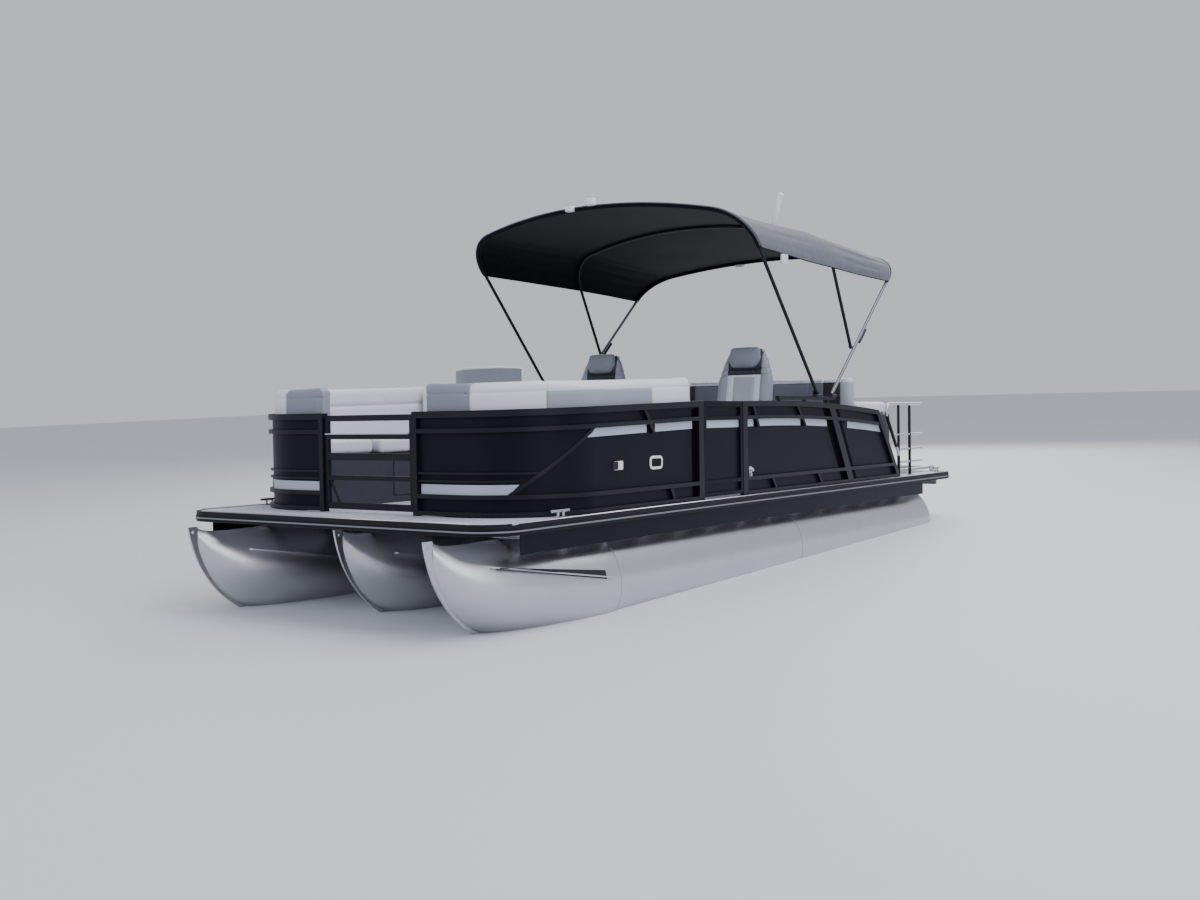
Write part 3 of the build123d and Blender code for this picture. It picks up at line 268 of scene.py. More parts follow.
# Aluminium tube bright-dipped and anodised, lit by the sky
BRIGHT_TUBE = Finish("bright_anodised_tube", "C6C8CE", "AAACB2", 0.28, "anodised", metallic=0.85)
# Satin anodised tube of the canvas frame's rear leg
SATIN_TUBE = Finish("satin_anodised_tube", "7A7C83", "6C6E75", 0.42, "anodised", metallic=0.6)
# Rail extrusion in black powder: fine orange peel under a satin gloss
BLACK_POWDER = Finish("black_powder_coat", "12131B", "1B1C25", 0.38, "black_rail", Grain.ORANGE_PEEL, 1.6,
                      0.04, specular=0.22)
# Pre-painted aluminium skin: blue-black with a broad soft gloss and the sheet's slow waviness
BLACK_SKIN = Finish("black_painted_skin", "12131D", "191A26", 0.40, "panel_black", Grain.MOTTLE, 420, 1.2,
                    patch_mm=700, specular=0.09)
# Matt black, painted as the shadow in the recesses beside posts and slanted bars
PAINTED_RECESS_SHADOW = Finish("painted_recess_shadow", "030305", "060609", 0.65, "panel_black", specular=0.05)
# Silver painted stripe
SILVER_STRIPE = Finish("silver_paint", "B4BAC9", "A4AABA", 0.38, "skirt_silver", metallic=0.2, patch_mm=400)
# Extruded vinyl bumper, slightly chalked by the sun
RUB_VINYL = Finish("extruded_black_vinyl", "121217", "24242A", 0.50, "rub_black", Grain.ORANGE_PEEL, 4.0,
                   0.08, specular=0.2)
# Woven vinyl floor: two light greys in a coarse basket
WOVEN_FLOOR = Finish("woven_vinyl_floor", "C9C9D3", "8F909B", 0.66, "deck_vinyl", Grain.WEAVE, 9.0, 0.9,
                     patch_mm=14, patch_share=0.9, specular=0.3)
# Aluminium insert of the bumper, with black vinyl lips over its edges
LIPPED_INSERT = Finish("aluminium_insert_in_vinyl_lips", "7C7D86", "0E0E13", 0.42, "anodised", metallic=0.3,
                       lips=(0.4690, 0.4770), specular=0.2)
# Marine vinyl on foam, off-white, with a fine pebble and a faint sheen
WHITE_VINYL = Finish("white_marine_vinyl", "D6D7DE", "C6C7D0", 0.46, "seat_vinyl", Grain.PEBBLE, 2.6, 0.14,
                     patch_mm=180, sheen=0.1)
# The same vinyl in mid grey, on the chairs' seats
GREY_VINYL = replace(WHITE_VINYL, name="grey_marine_vinyl", colour="80828F", worn="737582", slot="seat_grey")
# Darker, on the bench's back: mid grey vinyl with painted shade
SHADED_GREY_VINYL = replace(GREY_VINYL, name="grey_vinyl_painted_shade", colour="666876", worn="5D5F6C")
# In a softer mid grey, on the chairs' wings, and low on the lounges' after backs, where it is partly painted
# shade
SOFT_GREY_VINYL = replace(GREY_VINYL, name="soft_grey_marine_vinyl", colour="9395A2", worn="878996")
# In light grey, on inner strips and centre panels
LIGHT_GREY_VINYL = replace(GREY_VINYL, name="light_grey_marine_vinyl", colour="A4A6B2", worn="9799A5")
# In charcoal and without the sheen, for the bands and arm pads
DARK_VINYL = replace(GREY_VINYL, name="charcoal_marine_vinyl", colour="22222C", worn="2C2C37", roughness=0.44,
                     sheen=0.0, specular=0.35)
# Rotationally moulded polyethylene seat base: waxy dark grey with a soft leather grain, darkened further by
# painted shade of the canopy and the seats
MOULDED_BASE_AND_SHADE = Finish("moulded_polyethylene_painted_shade", "3C3D47", "35363F", 0.52, "seat_base", Grain.PEBBLE, 4.5, 0.2,
                      specular=0.4)
# Gelcoated console moulding
GELCOAT = Finish("white_gelcoat", "D2D4DA", "C4C6CC", 0.18, "console_plastic", Grain.ORANGE_PEEL, 30, 0.1,
                 coat=0.5)
# Black ABS instrument mouldings
BLACK_ABS = Finish("black_moulded_abs", "121317", "1C1D21", 0.42, "rub_black", Grain.ORANGE_PEEL, 1.2, 0.05,
                   specular=0.35)
# Cast acrylic tinted smoke
SMOKED_ACRYLIC = Finish("smoked_cast_acrylic", "6A7383", "626B7A", 0.05, "screen", alpha=0.6, coat=0.3)
# Solution-dyed acrylic canvas, plain weave, black: the shaded side
BLACK_CANVAS = Finish("black_acrylic_canvas", "0A0C15", "11131D", 0.85, "canvas", Grain.WEAVE, 3.0, 0.3,
                      patch_mm=90, specular=0.12, sheen=0.05)
# The same black canvas seen from the sky side, coloured a soft silvery grey: painted sky light and reflection
# on the black cloth
SKY_LIT_CANVAS = Finish("black_canvas_painted_sky_light", "4B4C57", "62636F", 0.80, "canvas", Grain.WEAVE, 5.0, 0.6,
                     patch_mm=60, patch_share=0.5, sheen=0.25)
# Outboard's sprayed black lacquer over metal
MOTOR_LACQUER = Finish("black_motor_lacquer", "0B0C0F", "121317", 0.22, "motor_paint", Grain.ORANGE_PEEL, 25,
                       0.06, coat=0.6)
# Stainless steel buffed bright
POLISHED_STEEL = Finish("polished_stainless_steel", "CBCCCE", "B9BABD", 0.16, "stainless", metallic=1.0)
# Investment-cast stainless, hand-finished, with soft ripples
PROPELLER_STEEL = Finish("cast_stainless_propeller", "C4C5C8", "A9AAAE", 0.26, "propeller_steel",
                         Grain.MOTTLE, 12, 0.06, metallic=1.0)
# Acetal lamp and trim mouldings, white
LAMP_WHITE = Finish("white_acetal_moulding", "E4E4E6", "D8D8DC", 0.30, "lamp", Grain.ORANGE_PEEL, 8.0,
                    0.04, coat=0.2)
# Polycarbonate lens, water clear
CLEAR_LENS = Finish("clear_polycarbonate_lens", "E8ECF0", "DCE2E8", 0.08, "lamp", alpha=0.6, coat=0.5)
# Studio floor in matt paint
PALE_FLOOR = Finish("matt_pale_floor", "D6D9DC", "D1D4D8", 0.70, "lamp", patch_mm=4000, patch_share=0.3,
                    specular=0.2)

NODE_FINISHES: tuple[tuple[Finish, str], ...] = (
    (WOVEN_FLOOR, "deck"), (RUB_VINYL, "rub_rail"), (LIPPED_INSERT, "rub_insert"),
    (BLACK_SKIN, "side_skirts"),
    (MILL_ALUMINIUM, "crossmembers port_tube starboard_tube centre_tube motor_pod"),
    (BLACK_POWDER, "port_bow_fence starboard_bow_fence port_aft_fence starboard_aft_fence"),
    (BLACK_SKIN, "bow_panels aft_panels"), (BLACK_POWDER, "bow_gate"), (BLACK_SKIN, "side_gate"),
    (BLACK_POWDER, "stern_gate"), (BRIGHT_TUBE, "stern_rails"), (MOULDED_BASE_AND_SHADE, "lounge_bases bench_base"),
    (GELCOAT, "helm_console"), (SMOKED_ACRYLIC, "windscreen"), (BLACK_ABS, "steering_wheel"),
    (ANODISED, "chair_pedestals"), (BLACK_POWDER, "bimini_front_bow bimini_mid_bow"),
    (SATIN_TUBE, "bimini_rear_bow"), (BLACK_POWDER, "bimini_tracks"), (LAMP_WHITE, "masthead_light"),
    (MOTOR_LACQUER, "outboard_bracket outboard_swivel outboard_leg outboard_cowl"),
    (PROPELLER_STEEL, "propeller"), (ANODISED, "boarding_ladder ladder_brackets"), (POLISHED_STEEL, "cleats"),
    (CLEAR_LENS, "docking_lights"))


def to_mesh(name: str, bm: Mesh) -> bpy.types.Mesh:
    """Turn a bmesh into a named mesh, and free it.

    Args:
        name: The mesh's name.
        bm: The shape.

    Returns:
        The mesh.
    """
    mesh = bpy.data.meshes.new(name)
    bm.to_mesh(mesh)
    bm.free()
    return mesh


def stand(name: str, data: bpy.types.ID) -> Piece:
    """Put a new object in the scene.

    Args:
        name: Its name.
        data: Its mesh, camera or light.

    Returns:
        The object.
    """
    piece = bpy.data.objects.new(name, data)
    bpy.context.scene.collection.objects.link(piece)
    return piece


def dress(piece: Piece, finishes: Sequence[Finish], body: str) -> None:
    """Give a piece its finishes, in slot order, and let it ride on a body.

    Args:
        piece: The piece.
        finishes: Its finishes.
        body: The CAD body it rides on.
    """
    for finish in finishes:
        piece.data.materials.append(finish.material())
    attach(piece, body)


def join(shapes: Sequence[Mesh]) -> Mesh:
    """Put several shapes into the first and free the rest.

    Args:
        shapes: The shapes.

    Returns:
        The first one, with all the others in it.
    """
    for extra in shapes[1:]:
        held = to_mesh("joining", extra)
        shapes[0].from_mesh(held)
        bpy.data.meshes.remove(held)
    return shapes[0]


def link_mesh(name: str, shapes: Sequence[Mesh], *finishes: Finish, body: str = "hull",
              smooth: bool = True) -> Piece:
    """Make a named piece from shapes, dress it and let it ride on a body.

    Args:
        name: The piece's name.
        shapes: Its shapes, in place. They are freed.
        finishes: The piece's finishes, in slot order.
        body: The CAD body it rides on.
        smooth: Whether its faces shade smooth.

    Returns:
        The new object.
    """
    bm = join(shapes)
    bmesh.ops.recalc_face_normals(bm, faces=bm.faces)
    for face in bm.faces:
        face.smooth = smooth
    piece = stand(name, to_mesh(name, bm))
    dress(piece, finishes, body)
    return piece


def paint(bm: Mesh, slot: int) -> Mesh:
    """Give all of a shape's faces one material slot.

    Args:
        bm: The shape.
        slot: The slot's number.

    Returns:
        The same bmesh.
    """
    for face in bm.faces:
        face.material_index = slot
    return bm


def sharp(edge: bmesh.types.BMEdge) -> bool:
    """Whether an edge is a real corner of its shape."""
    return edge.calc_face_angle(0.0) > 0.7


def soften(bm: Mesh, radius: float, segments: int = 3,
           chosen: Optional[Callable[[bmesh.types.BMEdge], bool]] = None) -> Mesh:
    """Round a shape's edges.

    Args:
        bm: The shape.
        radius: Size of the rounding.
        segments: Steps across it.
        chosen: Which edges to round, or all.

    Returns:
        The same bmesh.
    """
    edges = [e for e in bm.edges if chosen is None or chosen(e)]
    bmesh.ops.bevel(bm, geom=edges, offset=radius, offset_type="OFFSET", segments=segments, profile=0.5,
                    affect="EDGES", material=-1)
    return bm


def block(low: Point, high: Point, rounding: float = 0.0, segments: int = 3) -> Mesh:
    """A box between two corners.

    Args:
        low: Lowest corner.
        high: Highest corner.
        rounding: Size of the rounding of its edges.
        segments: Steps across the rounding.

    Returns:
        The box as a new bmesh.
    """
    bm = bmesh.new()
    bmesh.ops.create_cube(bm, size=1.0)
    bmesh.ops.scale(bm, vec=Vector(high) - Vector(low), verts=bm.verts)
    bmesh.ops.translate(bm, vec=(Vector(low) + Vector(high)) / 2, verts=bm.verts)
    return soften(bm, rounding, segments) if rounding else bm


def on_side(low: Point, high: Point, side: int) -> tuple[Point, Point]:
    """Corners of a port side box, put on either side.

    Args:
        low: Lowest corner, to port.
        high: Highest corner, to port.
        side: 1 for port, -1 for starboard.

    Returns:
        The lowest and the highest corner.
    """
    near, far = sorted((side * low[1], side * high[1]))
    return (low[0], near, low[2]), (high[0], far, high[2])


def turned(bm: Mesh, axis: Point, place: Point) -> Mesh:
    """Turn a shape's upright line to an axis, and move it to its place.

    Args:
        bm: The shape, about the origin.
        axis: Where its upright line points.
        place: Where its origin goes.

    Returns:
        The same bmesh.
    """
    turn = Vector(UP).rotation_difference(Vector(axis)).to_matrix().to_4x4()
    bmesh.ops.transform(bm, matrix=Matrix.Translation(Vector(place)) @ turn, verts=bm.verts)
    return bm


def rod(start: Point, end: Point, radius: float, sides: int = 20) -> Mesh:
    """A round bar between two points, with softened ends.

    Args:
        start: Centre of one end.
        end: Centre of the other.
        radius: The bar's radius.
        sides: Faces round it.

    Returns:
        The bar as a new bmesh.
    """
    line = Vector(end) - Vector(start)
    bm = bmesh.new()
    bmesh.ops.create_cone(bm, cap_ends=True, segments=sides, radius1=radius, radius2=radius,
                          depth=line.length)
    soften(bm, radius * 0.15, 2, lambda e: any(len(f.verts) > 4 for f in e.link_faces))
    return turned(bm, line, (Vector(start) + Vector(end)) / 2)


def prism(outline: Sequence[Point], reach: Point) -> Mesh:
    """Extrude a flat outline.

    Args:
        outline: The corners of a flat face, in order.
        reach: How far and which way it is extruded.

    Returns:
        The closed shape as a new bmesh.
    """
    bm = bmesh.new()
    face = bm.faces.new([bm.verts.new(point) for point in outline])
    grown = bmesh.ops.extrude_face_region(bm, geom=[face], use_keep_orig=True)
    moved = [item for item in grown["geom"] if isinstance(item, bmesh.types.BMVert)]
    bmesh.ops.translate(bm, vec=Vector(reach), verts=moved)
    bmesh.ops.recalc_face_normals(bm, faces=bm.faces)
    return bm


def tube_mesh(points: Sequence[Point], radius: float, sides: int) -> Mesh:
    """A round tube along a line of points.

    Args:
        points: The line.
        radius: The tube's radius.
        sides: Half the number of faces round it.

    Returns:
        The capped tube as a new bmesh.
    """
    line = bpy.data.curves.new("tube_line", "CURVE")
    line.dimensions = "3D"
    line.bevel_depth = radius
    line.bevel_resolution = sides
    line.use_fill_caps = True
    spline = line.splines.new("POLY")
    spline.points.add(len(points) - 1)
    for held, point in zip(spline.points, points):
        held.co = (*point, 1.0)
    holder = bpy.data.objects.new("tube_line", line)
    mesh = bpy.data.meshes.new_from_object(holder)
    bm = bmesh.new()
    bm.from_mesh(mesh)
    bmesh.ops.remove_doubles(bm, verts=bm.verts, dist=1e-5)
    bpy.data.objects.remove(holder)
    bpy.data.curves.remove(line)
    bpy.data.meshes.remove(mesh)
    return bm


def lathe(profile: Sequence[Pair], centre: Point, axis: Point, steps: int = 32) -> Mesh:
    """Spin a profile into a turned shape.

    Args:
        profile: Pairs of radius and distance along the axis.
        centre: Where the axis starts.
        axis: Its direction.
        steps: Faces round it.

    Returns:
        The turned shape as a new bmesh.
    """
    bm = bmesh.new()
    verts = [bm.verts.new((radius, 0, along)) for radius, along in profile]
    edges = [bm.edges.new(pair) for pair in zip(verts, verts[1:])]
    bmesh.ops.spin(bm, geom=verts + edges, cent=(0, 0, 0), axis=UP, angle=2 * pi, steps=steps, use_merge=True)
    bmesh.ops.remove_doubles(bm, verts=bm.verts, dist=1e-5)
    return turned(bm, axis, centre)


def strip(cuts: tuple[int, int], place: Callable[[float, float], Vector],
          out: Callable[[Vector], Vector]) -> Mesh:
    """A thin strip laid over a surface.

    Args:
        cuts: Steps along it and across it.
        place: Where it lies, from the shares along it and across it.
        out: How far and which way it stands out, beside a point.

    Returns:
        The strip as a closed bmesh.
    """
    bm = bmesh.new()
    bmesh.ops.create_grid(bm, x_segments=cuts[0], y_segments=cuts[1], size=0.5)
    for vert in bm.verts:
        vert.co = place(vert.co.x + 0.5, vert.co.y + 0.5)
    before = set(bm.verts)
    grown = bmesh.ops.extrude_face_region(bm, geom=list(bm.faces), use_keep_orig=True)
    for item in grown["geom"]:
        if isinstance(item, bmesh.types.BMVert) and item not in before:
            item.co += out(item.co)
    return bm


def surface_tree(node: Piece) -> BVHTree:
    """A node's surface in place, ready for ray casts."""
    places = [node.matrix_world @ vert.co for vert in node.data.vertices]
    return BVHTree.FromPolygons(places, [tuple(face.vertices) for face in node.data.polygons])


@dataclass(frozen=True)
class FenceLine:
    """The fence's plan line on one side: from the bow post, round the corner and aft."""

    side: int
    inset: float = 0.0
    side_y: float = 1.255
    corner: float = 0.600
    start_y: float = 0.410

    @property
    def front_run(self) -> float:
        """Length of the straight part at the front."""
        return self.side_y - self.corner - self.start_y

    @property
    def corner_run(self) -> float:
        """Length round the corner, measured at the fence's outer face."""
        return self.corner * pi / 2

    @property
    def centre(self) -> Vector:
        """Middle of the corner's curve."""
        return Vector((FENCE_FRONT - self.corner, self.side * (self.side_y - self.corner), 0))

    def at(self, run: float) -> tuple[Vector, Vector]:
        """Point and outward direction at a distance from the post.

        Args:
            run: Distance along the outer face, starting at the post.

        Returns:
            The point, at z 0, and the outward unit vector.
        """
        if run < self.front_run:
            return Vector((FENCE_FRONT - self.inset, self.side * (self.start_y + run), 0)), Vector(AHEAD)
        if run < self.front_run + self.corner_run:
            angle = (run - self.front_run) / self.corner
            out = Vector((cos(angle), self.side * sin(angle), 0))
            return self.centre + out * (self.corner - self.inset), out
        x = FENCE_FRONT - self.corner - (run - self.front_run - self.corner_run)
        return Vector((x, self.side * (self.side_y - self.inset), 0)), Vector((0, self.side, 0))

    def out_at(self, place: Vector) -> Vector:
        """Outward direction beside a point.

        Args:
            place: The point.

        Returns:
            The unit vector.
        """
        centre = self.centre
        if place.x <= centre.x:
            return Vector((0, self.side, 0))
        if place.y * self.side <= centre.y * self.side:
            return Vector(AHEAD)
        return Vector((place.x - centre.x, place.y - centre.y, 0)).normalized()

    def run_at_x(self, x: float) -> float:
        """Distance along the line of a place on the side, by its x."""
        return self.front_run + self.corner_run + FENCE_FRONT - self.corner - x

    def run_at_angle(self, angle: float) -> float:
        """Distance along the line of a place on the corner, by degrees from dead ahead."""
        return self.front_run + self.corner * radians(angle)


def fence_height(x: float, drop: float) -> float:
    """Height of the fence's top edge.

    Args:
        x: Where.
        drop: How far below the edge.

    Returns:
        The height.
    """
    if x > BOW_FENCE_AFT:
        return BOW_FENCE_TOP + FENCE_RISE * (FENCE_FRONT - x) - drop
    aft = max(AFT_FENCE_X - x, 0.0)
    return AFT_FENCE_TOP + AFT_CLIMB * aft - AFT_FALL * aft ** 2 - drop


def band(line: FenceLine, low: Pair, top: Pair, bottom: Height, crest: Height, thick: float,
         cuts: int = 60) -> Mesh:
    """A thin strip wrapped on the fence line.

    Args:
        line: The line that it follows, at the strip's inner face.
        low: Distances along the line at which its bottom edge starts and ends.
        top: The same for its top edge.
        bottom: Height of the bottom edge, by x.
        crest: Height of the top edge, by x.
        thick: How far it stands out.
        cuts: Steps along it.

    Returns:
        The strip as a closed bmesh.
    """
    def place(along: float, up: float) -> Vector:
        """Point of the strip by its shares.

        Args:
            along: Share along it.
            up: Share across it.

        Returns:
            The point.
        """
        run = (low[0] + (low[1] - low[0]) * along) * (1 - up) + (top[0] + (top[1] - top[0]) * along) * up
        spot, _ = line.at(run)
        return Vector((spot.x, spot.y, bottom(spot.x) * (1 - up) + crest(spot.x) * up))

    return strip((cuts, 1), place, lambda co: line.out_at(co) * thick)


@dataclass
class FenceTrim:
    """Stripes, bars, slanted trim and a blank badge plate on one side's skins."""

    side: int
    word: str
    stripe_thick: float = 0.002
    bar_thick: float = 0.019
    gate_front: float = 1.038
    # Lengths between the ribs, and how far the first starts late at its foot and the last runs on at its top
    stripes: tuple[tuple[float, float, float, float], ...] = (
        (2.257, 1.722, 0.090, 0.0), (1.628, 1.155, 0.0, 0.0), (1.038, 0.609, 0.0, 0.0),
        (0.520, 0.402, 0.0, 0.0), (0.342, -0.302, 0.0, 0.0), (-0.372, -0.742, 0.0, 0.0),
        (-1.104, -1.775, 0.0, 0.066))
    # The slanted trim: its ends in degrees round the corner, foot, climb, width, slant and thickness
    trim_angles: Pair = (34.8, 91.7)
    trim_foot: float = 0.628
    trim_climb: float = 0.388
    trim_wide: float = 0.018
    trim_slant: float = 0.012
    trim_thick: float = 0.006
    stripe_low: float = 0.175
    stripe_high: float = 0.125

    @property
    def skin(self) -> FenceLine:
        """The line of the skins' outer face."""
        return FenceLine(self.side, 0.0255)

    def build(self) -> list[Piece]:
        """Make the trim of one side.

        Returns:
            The new pieces.
        """
        stripe = self._level(0.012, (35, 41), (0.636, 0.693), self.stripe_thick)
        bars = [self._level(0.0, (50, 52), (0.750, 0.762), self.bar_thick),
                self._level(0.0, (39, 41), (0.706, 0.718), self.bar_thick)]
        return [
            link_mesh(self.word + "_front_stripe", [stripe], SILVER_STRIPE, smooth=False),
            link_mesh(self.word + "_side_stripe", self._side_stripe(), SILVER_STRIPE, smooth=False),
            link_mesh(self.word + "_front_bars", bars, BLACK_POWDER, smooth=False),
            link_mesh(self.word + "_diagonal_trim", [self._diagonal()], BLACK_POWDER, smooth=False),
            link_mesh(self.word + "_badge_plate", self._badge(), LAMP_WHITE, BLACK_SKIN, smooth=False)]

    def _level(self, start: float, angles: Pair, heights: Pair, thick: float) -> Mesh:
        """A level strip from beside the post round the corner, ending on a slant.

        Args:
            start: Where it starts along the line.
            angles: Where its bottom and its top edge end, in degrees round the corner.
            heights: Its bottom and its top.
            thick: How far it stands out.

        Returns:
            The strip.
        """
        low, top = ((start, self.skin.run_at_angle(angle)) for angle in angles)
        return band(self.skin, low, top, lambda x: heights[0], lambda x: heights[1], thick)

    def _side_stripe(self) -> list[Mesh]:
        """The silver stripe under the second rail, in lengths between the ribs.

        Returns:
            The lengths, without the one on the port side's gate.
        """
        at = self.skin.run_at_x
        return [band(self.skin, (at(start + first), at(end)), (at(start), at(end + last)),
                     lambda x: fence_height(x, self.stripe_low), lambda x: fence_height(x, self.stripe_high),
                     self.stripe_thick, 14)
                for start, end, first, last in self.stripes if self.side < 0 or start != self.gate_front]

    def _diagonal(self) -> Mesh:
        """Straight trim that climbs across the corner.

        Returns:
            The trim.
        """
        skin = self.skin
        low, top = (skin.run_at_angle(angle) for angle in self.trim_angles)

        def place(along: float, up: float) -> Vector:
            """Point of the trim by its shares.

            Args:
                along: Share along it.
                up: Share across it.

            Returns:
                The point.
            """
            spot, _ = skin.at(low + (top - low) * along + self.trim_slant * (0.5 - up))
            height = self.trim_foot + self.trim_climb * along + self.trim_wide * (up - 0.5)
            return Vector((spot.x, spot.y, height))

        return strip((40, 1), place, lambda co: skin.out_at(co) * self.trim_thick)

    def _badge(self) -> list[Mesh]:
        """Bare plate with a bright rim, where such boats carry a badge.

        Returns:
            The rim and the plate inside it.
        """
        shapes = []
        for inset, proud in ((0.0, 0.006), (0.016, 0.007)):
            plate = block((1.553 + inset, self.side * SKIN_Y, 0.737 + inset),
                          (1.693 - inset, self.side * (SKIN_Y + proud), 0.819 - inset))
            bmesh.ops.recalc_face_normals(plate, faces=plate.faces)
            soften(plate, 0.030 - inset, 6, lambda e: abs(e.verts[0].co.y - e.verts[1].co.y) > 0.001)
            shapes.append(paint(plate, int(inset > 0)))
        return shapes


@dataclass
class FenceFittings:
    """What the fence carries once: the side gate's stripe, a painted highlight along the bow gate's top edge,
    docking lamps, a latch, and strips of painted shadow in the reveals.
    """

    shadow_strip_thick: float = 0.0035
    post_wide: float = 0.048

    def build(self) -> list[Piece]:
        """Make the fittings.

        Returns:
            The new pieces.
        """
        gate_stripe = block((0.611, 1.2362, fence_height(0.8, 0.175)),
                            (1.036, 1.2385, fence_height(0.8, 0.125)))
        plate = block((0.430, SKIN_Y, 0.625), (0.470, 1.2330, 0.705), 0.0015, 2)
        knob = lathe([(0.0, 0.022), (0.012, 0.022), (0.015, 0.016), (0.009, 0.010), (0.009, 0.0), (0.0, 0.0)],
                     (0.450, 1.2325, 0.682), TO_PORT, 24)
        hook = block((0.440, 1.2325, 0.632), (0.460, 1.2420, 0.662), 0.003, 2)
        # A thin silver strip along the bow gate's top front edge: a painted highlight on the bar's edge
        gate_edge_highlight = block((2.858, -0.348, 0.979), (2.8645, 0.348, 0.9855))
        made = [
            link_mesh("side_gate_stripe", [gate_stripe], SILVER_STRIPE, body="side_gate", smooth=False),
            link_mesh("docking_lamps", self._lamps(), LAMP_WHITE, BLACK_ABS, smooth=False),
            link_mesh("side_gate_latch", [plate, knob, hook], POLISHED_STEEL, smooth=False),
            link_mesh("skin_recess_shadows", self._recess_shadows(), PAINTED_RECESS_SHADOW, smooth=False),
            link_mesh("bow_gate_edge_highlight", [gate_edge_highlight], SILVER_STRIPE, body="bow_gate", smooth=False)]
        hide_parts("docking_lights")
        return made

    def _lamps(self) -> list[Mesh]:
        """Docking lights: white bevelled housings with a dark lens that looks ahead.

        Returns:
            The housings and the lenses.
        """
        shells, lenses = [], []
        for side in (1, -1):
            root = side * 1.2295
            shell = prism([(2.072, root, 0.747), (2.046, side * 1.254, 0.751), (2.004, side * 1.254, 0.751),
                           (1.997, root, 0.747)], (0, 0, 0.052))
            shells.append(paint(soften(shell, 0.005, 3, sharp), 0))
            lens = prism([(2.083, root, 0.750), (2.060, side * 1.249, 0.754), (2.048, side * 1.250, 0.754),
                          (2.050, root, 0.750)], (0, 0, 0.046))
            lenses.append(paint(soften(lens, 0.003, 2, sharp), 1))
        return shells + lenses

    def _recess_shadows(self) -> list[Mesh]:
        """Matt black strips of painted shadow on the skins: in the recesses either side of each slanted bar
        and ahead of the gate's posts.

        Returns:
            The strips.
        """
        shapes = []
        # Each strip is painted shadow in a recess, not a part of its own
        for side, post in ((1, 1.153), (-1, 1.083)):
            y, reach = side * 1.2285, (0, side * self.shadow_strip_thick, 0)
            for front, wide in ((-0.832, 0.100), (-0.668, 0.070)):
                foot = front - 0.350
                shapes.append(prism([(front, y, 1.118), (foot, y, 0.518), (foot - wide, y, 0.518),
                                     (front - wide, y, 1.118)], reach))
            ahead = post + self.post_wide
            shapes.append(prism([(post, y, 0.520), (ahead, y, 0.520), (ahead, y, 1.100), (post, y, 1.100)],
                                reach))
        return shapes


@dataclass(frozen=True)
class Seam:
    """A sewn line where a plane crosses a pad."""

    point: Point
    normal: Point
    depth: float = 0.007
    width: float = 0.012
    where: Optional[Callable[[Vector, Vector], bool]] = None


def seams_at(axis: Point, places: Iterable[float], depth: float = 0.007, width: float = 0.012) -> list[Seam]:
    """Straight seams square to an axis.

    Args:
        axis: The axis.
        places: Where they cross it.
        depth: How deep they are drawn in.
        width: How wide they are.

    Returns:
        The seams.
    """
    return [Seam(tuple(part * place for part in axis), axis, depth, width) for place in places]


@dataclass
class Pad:
    """A foam pad in sewn vinyl."""

    name: str
    shape: Mesh
    covers: Sequence[Finish]
    seams: Sequence[Seam] = ()
    cover: Optional[Cover] = None
    body: str = "hull"
    stands_for: tuple[str, ...] = ()
    swell: float = 0.008
    voxel: float = 0.011


